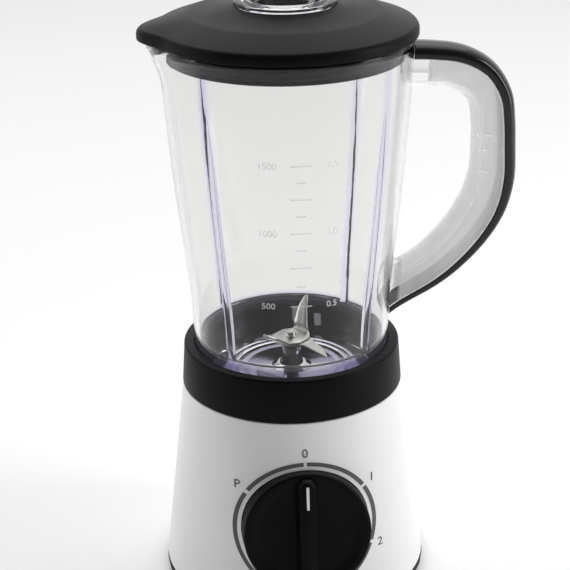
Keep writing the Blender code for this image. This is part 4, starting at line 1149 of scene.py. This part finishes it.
class BLENDER_OT_floor_dish(bpy.types.Operator):
    """Build the spun steel dish on the jar's floor and the bearing's flange"""

    bl_idname = "blender_kit.floor_dish"
    bl_label = "Floor dish"

    def execute(self, context):
        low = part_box("floor_dish")[0].z
        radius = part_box("floor_dish")[1].x
        top = [(8.3, 1.1), (12.0, 1.1), (13.5, 0.9), (27.0, 0.9), (30.0, 1.3), (33.0, 1.3), (34.0, 1.7)]
        top += [(37.0, 1.7), (38.0, 2.1), (41.0, 2.1), (43.0, 2.2)]
        outline = [(r * MM, low + z * MM) for r, z in top]
        outline += [(radius, low + 1.9 * MM), (radius, low + 1.2 * MM), (40 * MM, low + 1.2 * MM)]
        outline += [(32 * MM, low), (8.3 * MM, low)]
        shape = spun(rounded(outline, {3: 3 * MM, 4: 1 * MM, 5: 0.8 * MM, 7: 0.8 * MM}, 4), 160)
        bright = bright_steel()
        finished("dish", shape, bright, "jar", ["floor_dish"], 50)
        flange_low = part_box("blade_housing")[0].z
        flange_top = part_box("blade_housing")[1].z
        outline = [
            (6.5 * MM, flange_top),
            (8.5 * MM, flange_top),
            (12 * MM, flange_top - 2 * MM),
            (8 * MM, flange_top - 2 * MM),
            (8 * MM, flange_low),
            (6.5 * MM, flange_low),
        ]
        shape = spun(rounded(outline, {1: 0.6 * MM}), 96)
        finished("bearing_flange", shape, bright, "jar", ["blade_housing"], 40)
        return {"FINISHED"}


class BLENDER_OT_blades(bpy.types.Operator):
    """Build the two crossed blades with their ground wings, the spacer and the nut"""

    bl_idname = "blender_kit.blades"
    bl_label = "Blades"

    thickness = 1.2 * MM
    root = 10 * MM

    def execute(self, context):
        steel = satin_steel()
        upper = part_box("blade_upper")[0].z + self.thickness / 2
        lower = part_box("blade_lower")[1].z - self.thickness / 2
        self.blade("blade_up", 47, upper, ((68, 22, 6.2), (33, 21.5, 6.2)), steel, "blade_upper")
        self.blade("blade_down", -40, lower, ((-27, 16, 5.8), (-22, 17, 5.8)), steel, "blade_lower")
        nut_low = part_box("blade_nut")[0].z
        outline = [(0.0, 1.5), (1.3, 1.5), (1.5, 1.9), (2.1, 1.8), (2.5, 1.2)]
        outline += [(2.6, 0.4), (3.2, 0.3), (3.2, 0.0), (0.0, 0.0)]
        shape = spun([(r * MM, nut_low + z * MM) for r, z in outline], 64)
        finished("blade_cap_nut", shape, bright_steel(), "blades", ["blade_nut"], 30)
        low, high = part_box("blade_spacer")
        outline = [
            (4.3 * MM, high.z),
            (high.x, high.z),
            (high.x, low.z + 4 * MM),
            (high.x + 1.5 * MM, low.z),
            (4.3 * MM, low.z),
        ]
        shape = spun(rounded(outline, {1: 0.5 * MM, 2: 1.5 * MM}), 96)
        finished("blade_hub", shape, bright_steel(), "blades", ["blade_spacer"], 40)
        return {"FINISHED"}

    def blade(self, name, angle, level, wings, steel, node):
        """A strip of spring steel, waisted at its middle, with a ground wing bent at each end."""
        rows = []
        half = wings[0][2] * MM
        for side, (bend, reach, half_width) in zip((1, -1), wings):
            rows.append([self.wing_row(side, bend, reach * MM, half_width * MM, i / 12) for i in range(13)])
        shape = bmesh.new()
        corners = ((1, 1), (-1, 1), (-1, -1), (1, -1))
        waist = [Vector((0.5 * self.root * s, 1.65 * half * t, 0)) for s, t in corners]
        made = [[[shape.verts.new(p) for p in row] for row in side] for side in rows]
        corner = [shape.verts.new(p) for p in waist]
        for side in made:
            for near, far in zip(side, side[1:]):
                for i in range(len(near) - 1):
                    shape.faces.new((near[i], near[i + 1], far[i + 1], far[i]))
        right, left = made[0][0], made[1][0]
        shape.faces.new((*reversed(right), *corner[:2], *reversed(left), *corner[2:]))
        bmesh.ops.recalc_face_normals(shape, faces=shape.faces)
        mesh = bpy.data.meshes.new(name)
        shape.to_mesh(mesh)
        shape.free()
        helper = bpy.data.objects.new(name, mesh)
        bpy.context.scene.collection.objects.link(helper)
        sheet = helper.modifiers.new("sheet", "SOLIDIFY")
        sheet.thickness = self.thickness
        sheet.offset = 0.0
        sheet.use_even_offset = True
        edge = helper.modifiers.new("edge", "BEVEL")
        edge.width = 0.18 * MM
        edge.segments = 2
        edge.limit_method = "ANGLE"
        edge.angle_limit = math.radians(50)
        solid = as_plain_mesh(helper)
        bpy.data.objects.remove(helper, do_unlink=True)
        solid.transform(Matrix.Translation((0, 0, level)) @ Matrix.Rotation(math.radians(angle), 4, "Z"))
        finished_mesh(name, solid, steel, "blades", [node], 35)

    def wing_row(self, side, bend, reach, half, share):
        """Five points across a wing: a straight leading edge and a swept, hollow trailing edge."""
        turn = math.radians(bend)
        soft = min(share / 0.15, 1.0)
        length = share * reach
        run = length * (math.cos(turn * soft) if share < 0.15 else math.cos(turn))
        rise = length * (math.sin(turn * soft) if share < 0.15 else math.sin(turn))
        lead = 1.0 - 0.15 * share - 0.5 * max(0.0, share - 0.6) ** 1.5 / 0.4**1.5
        trail = 1.0 - 1.15 * share**0.6
        points = []
        for i in range(5):
            across = lead + (-trail - lead) * i / 4
            points.append(Vector((side * (self.root + run), side * across * half, rise)))
        return points


# ---------------------------------------------------------------- lid and cap


class BLENDER_OT_lid(bpy.types.Operator):
    """Build the black lid with its rolled flange, and its gasket"""

    bl_idname = "blender_kit.lid"
    bl_label = "Lid"

    def execute(self, context):
        low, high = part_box("lid")
        flange = RIM + 0.3 * MM
        hole = 24.4 * MM
        plug = jar_radius(JAR_HEIGHT) - context.scene.blender_jar.wall - 2.4 * MM
        wall = 3 * MM
        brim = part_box("lid")[1].x
        outline = [
            (hole, high.z - 0.4 * MM),
            (hole + 0.6 * MM, high.z),
            (hole + 5 * MM, high.z),
            (hole + 7 * MM, high.z - 1.4 * MM),
            (plug - 12 * MM, high.z - 4 * MM),
            (brim, flange + 6 * MM),
            (brim, flange),
            (plug, flange),
            (plug, low.z),
            (plug - wall, low.z),
            (plug - wall, flange + wall),
            (hole + 4 * MM, high.z - 8 * MM),
            (hole + 3 * MM, flange - 3 * MM),
            (hole, flange - 3 * MM),
        ]
        shape = spun(rounded(outline, {4: 14 * MM, 5: 4 * MM, 6: 0.8 * MM, 8: 1 * MM}), 160)

        def lip(point):
            return spout(point) if math.hypot(point.x, point.y) > plug + 0.5 * MM else point

        satin = black_satin(context.scene.blender_base.black)
        finished("jar_lid", moved(shape, lip), satin, "lid", ["lid"], 35)
        low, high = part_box("lid_gasket")
        outline = [
            (plug + 0.3 * MM, high.z),
            (high.x - 0.6 * MM, high.z),
            (high.x, high.z - 1 * MM),
            (high.x - 0.9 * MM, (low.z + high.z) / 2),
            (high.x - 0.3 * MM, low.z + 1 * MM),
            (high.x - 1.2 * MM, low.z),
            (plug + 0.3 * MM, low.z),
        ]
        finished("lid_seal", spun(outline, 128), soft_rubber(), "lid", ["lid_gasket"], 50)
        return {"FINISHED"}


class BLENDER_OT_cap(bpy.types.Operator):
    """Build the clear filler cap with its flange"""

    bl_idname = "blender_kit.cap"
    bl_label = "Filler cap"

    def execute(self, context):
        low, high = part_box("filler_cap")
        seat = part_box("lid")[1].z + 0.3 * MM
        outline = [
            (0.0, high.z - 0.8 * MM),
            (15 * MM, high.z - 0.8 * MM),
            (17 * MM, high.z),
            (21.1 * MM, high.z),
            (23.1 * MM, seat + 3 * MM),
            (high.x, seat + 2.5 * MM),
            (high.x, seat),
            (24.1 * MM, seat),
            (24.1 * MM, low.z),
            (21.9 * MM, low.z),
            (19.9 * MM, high.z - 2.2 * MM),
            (0.0, high.z - 2.6 * MM),
        ]
        shape = spun(rounded(outline, {3: 1.6 * MM, 4: 1.5 * MM, 5: 0.8 * MM, 10: 1.5 * MM}), 128)
        jar = context.scene.blender_jar
        clear = clear_moulding(jar.clear, jar.violet, "clear_cap")
        finished("measuring_cap", shape, clear, "cap", ["filler_cap"], 35)
        return {"FINISHED"}


# ---------------------------------------------------------------- fittings and inner parts


class BLENDER_OT_fittings(bpy.types.Operator):
    """Build the rounded feet and the cord gland"""

    bl_idname = "blender_kit.fittings"
    bl_label = "Feet and gland"

    def execute(self, context):
        rubber = soft_rubber()
        for number in range(1, 5):
            low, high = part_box(f"foot_{number}")
            centre = (low + high) / 2
            radius = (high.x - low.x) / 2
            outline = [(0.0, high.z), (radius, high.z), (radius - 0.5 * MM, low.z), (0.0, low.z)]
            shape = spun(rounded(outline, {2: 0.6 * MM}), 64)
            spot = Vector((centre.x, centre.y, 0))
            shape = moved(shape, lambda p, spot=spot: p + spot)
            finished(f"rubber_foot_{number}", shape, rubber, "base", [f"foot_{number}"])
        low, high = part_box("cord_gland")
        middle = (low.z + high.z) / 2
        flange = high.z - middle
        outline = [
            (3.75 * MM, high.y),
            (flange - 1.5 * MM, high.y),
            (flange, high.y - 1.4 * MM),
            (flange, high.y - 2 * MM),
            (5.6 * MM, high.y - 2 * MM),
            (5.6 * MM, low.y),
            (3.75 * MM, low.y),
        ]
        shape = spun(rounded(outline, {0: 0.5 * MM}), 64)
        shape = moved(shape, lambda p: Vector((p.x, p.z, middle - p.y)))
        finished("cord_bushing", shape, rubber, "base", ["cord_gland"])
        return {"FINISHED"}


def numbered(name, count):
    return [f"{name}_{number}" for number in range(1, count + 1)]


class BLENDER_OT_inner_parts(bpy.types.Operator):
    """Give every inner part that stays as designed its own finish"""

    bl_idname = "blender_kit.inner_parts"
    bl_label = "Inner parts"

    def execute(self, context):
        black = context.scene.blender_base.black
        nylon = grained("natural_nylon", (0.6, 0.57, 0.5), (0.72, 0.69, 0.62), 0.4, 0.6)
        bronze = grained("sintered_bronze", (0.33, 0.2, 0.08), (0.5, 0.33, 0.15), 0.4, 0.6, 1.0, 0.5 * MM)
        carbon = grained("brush_carbon", (0.02, 0.02, 0.022), (0.05, 0.05, 0.052), 0.55, 0.8)
        dark_green, light_green = (0.02, 0.09, 0.035), (0.04, 0.16, 0.06)
        board = grained("circuit_board_green", dark_green, light_green, 0.35, 0.5, 0.0, 2 * MM)
        black_part = black_satin(black)
        finishes = {
            black_part: ("bottom_plate", "rotary_switch", "microswitch", "housing_nut", "driven_coupling"),
            nylon: ("dial_spindle", "interlock_pin", "cooling_fan"),
            bronze: (
                *(f"{level}_{part}" for level in ("upper", "lower") for part in ("bearing", "bush")),
                "brush_holder_left",
                "brush_holder_right",
            ),
            carbon: ("brush_left", "brush_right"),
            board: ("circuit_board",),
            laminated_steel(): ("motor_stator", "armature_core"),
            copper_winding(): ("field_coil_front", "field_coil_rear", "armature_winding", "commutator"),
            plated_steel(): (
                "upper_bracket",
                "lower_bracket",
                "interlock_spring",
                *numbered("motor_bolt", 2),
                *numbered("plate_screw", 4),
            ),
            satin_steel(): ("motor_shaft", "blade_shaft"),
            soft_rubber(): (
                *numbered("motor_mount", 4),
                "shaft_seal",
                "drive_coupling",
                "blade_gasket",
            ),
        }
        for material, nodes in finishes.items():
            for node in nodes:
                for slot in frame["nodes"][node].material_slots:
                    slot.link = "OBJECT"
                    slot.material = material
        return {"FINISHED"}


# ---------------------------------------------------------------- stage


class BLENDER_OT_stage(bpy.types.Operator):
    """Set the pale floor, the soft lights, the surroundings and the camera"""

    bl_idname = "blender_kit.stage"
    bl_label = "Stage"

    def execute(self, context):
        settings = context.scene.blender_studio
        self.floor(settings)
        self.surroundings(context.scene)
        self.softbox("key_light", (1.35, -0.42, 0.64), (0.5, 1.25), 13)
        self.softbox("left_strip", (-1.4, 0.15, 0.55), (0.3, 1.1), 3)
        self.softbox("back_light", (0.0, 0.95, 1.9), (2.4, 1.6), 11)
        self.camera(context, settings)
        context.scene.view_settings.view_transform = "Standard"
        return {"FINISHED"}

    def floor(self, settings):
        shape = bmesh.new()
        bmesh.ops.create_circle(shape, cap_ends=True, segments=96, radius=6.0)
        mesh = bpy.data.meshes.new("studio_floor")
        shape.to_mesh(mesh)
        shape.free()
        grey = settings.floor_grey
        paper = Finish("studio_paper", (grey, grey, grey), 0.9, Specular_IOR_Level=0.1)
        paper.shader.inputs["Emission Color"].default_value = (1.0, 1.0, 1.0, 1.0)
        paper.shader.inputs["Emission Strength"].default_value = 0.17
        fibres = paper.noise(4 * MM, 3.0)
        paper.vary_colour(fibres, (grey * 0.99,) * 3, (grey,) * 3)
        mesh.materials.append(paper.material)
        floor = bpy.data.objects.new("studio_floor", mesh)
        floor.location.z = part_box("foot_1")[0].z - 0.05 * MM
        bpy.context.scene.collection.objects.link(floor)

    def surroundings(self, scene):
        """Dark in front and bright behind, so that clear walls shine and black ones stay black."""
        world = bpy.data.worlds.new("studio")
        scene.world = world
        world.use_nodes = True
        tree = world.node_tree
        background = tree.nodes["Background"]
        background.inputs["Strength"].default_value = 1.0
        place = tree.nodes.new("ShaderNodeTexCoord")
        split = tree.nodes.new("ShaderNodeSeparateXYZ")
        ramp = tree.nodes.new("ShaderNodeValToRGB")
        ramp.color_ramp.elements[0].position = 0.25
        ramp.color_ramp.elements[0].color = (0.03, 0.03, 0.031, 1.0)
        ramp.color_ramp.elements[1].position = 0.75
        ramp.color_ramp.elements[1].color = (1.0, 1.0, 1.0, 1.0)
        spread = tree.nodes.new("ShaderNodeMapRange")
        spread.inputs["From Min"].default_value = -1.0
        tree.links.new(place.outputs["Generated"], split.inputs[0])
        tree.links.new(split.outputs["Y"], spread.inputs["Value"])
        tree.links.new(spread.outputs["Result"], ramp.inputs["Fac"])
        tree.links.new(ramp.outputs["Color"], background.inputs["Color"])

    def softbox(self, name, place, size, power):
        light = bpy.data.lights.new(name, "AREA")
        light.shape = "RECTANGLE"
        light.size, light.size_y = size
        light.energy = power
        lamp = bpy.data.objects.new(name, light)
        aim = Vector((0, 0, 0.17)) - Vector(place)
        lamp.location = place
        lamp.rotation_euler = aim.to_track_quat("-Z", "Y").to_euler()
        bpy.context.scene.collection.objects.link(lamp)

    def camera(self, context, settings):
        data = bpy.data.cameras.new("camera")
        data.lens = settings.lens
        camera = bpy.data.objects.new("camera", data)
        context.scene.collection.objects.link(camera)
        around, above = settings.azimuth, settings.elevation
        right = Vector((math.cos(around), math.sin(around), 0))
        flat = math.cos(above)
        back = Vector((math.sin(around) * flat, -math.cos(around) * flat, math.sin(above)))
        aim = Vector((0, 0, COLLAR_FOOT)) - right * 3.15 * MM + Vector((0, 0, 58.58 * MM))
        camera.location = aim + back * settings.distance
        turn = (-back).to_track_quat("-Z", "Y").to_matrix() @ Matrix.Rotation(settings.roll, 3, "Z")
        camera.rotation_euler = turn.to_euler()
        data.clip_start, data.clip_end = 0.05, 20.0
        context.scene.camera = camera


class BLENDER_PT_kit(bpy.types.Panel):
    """The blender's sizes and its build steps"""

    bl_idname = "BLENDER_PT_kit"
    bl_label = "Countertop Blender"
    bl_space_type = "VIEW_3D"
    bl_region_type = "UI"
    bl_category = "Blender"

    def draw(self, context):
        for group in GROUPS:
            box = self.layout.box()
            settings = getattr(context.scene, group)
            for name in type(settings).__annotations__:
                box.prop(settings, name)
        for operator in OPERATORS:
            self.layout.operator(operator.bl_idname)


OPERATORS = (
    BLENDER_OT_stage,
    BLENDER_OT_housing,
    BLENDER_OT_collar,
    BLENDER_OT_dial,
    BLENDER_OT_dial_scale,
    BLENDER_OT_jar,
    BLENDER_OT_graduations,
    BLENDER_OT_handle_cover,
    BLENDER_OT_floor_dish,
    BLENDER_OT_blades,
    BLENDER_OT_lid,
    BLENDER_OT_cap,
    BLENDER_OT_fittings,
    BLENDER_OT_inner_parts,
)


def register():
    for cls in (*GROUPS.values(), *OPERATORS, BLENDER_PT_kit):
        bpy.utils.register_class(cls)
    for name, group in GROUPS.items():
        setattr(bpy.types.Scene, name, bpy.props.PointerProperty(type=group))


def unregister():
    for name in GROUPS:
        delattr(bpy.types.Scene, name)
    for cls in reversed((*GROUPS.values(), *OPERATORS, BLENDER_PT_kit)):
        bpy.utils.unregister_class(cls)


def main():
    register()
    for operator in OPERATORS:
        group, name = operator.bl_idname.split(".")
        getattr(getattr(bpy.ops, group), name)()


if __name__ == "__main__":
    main()
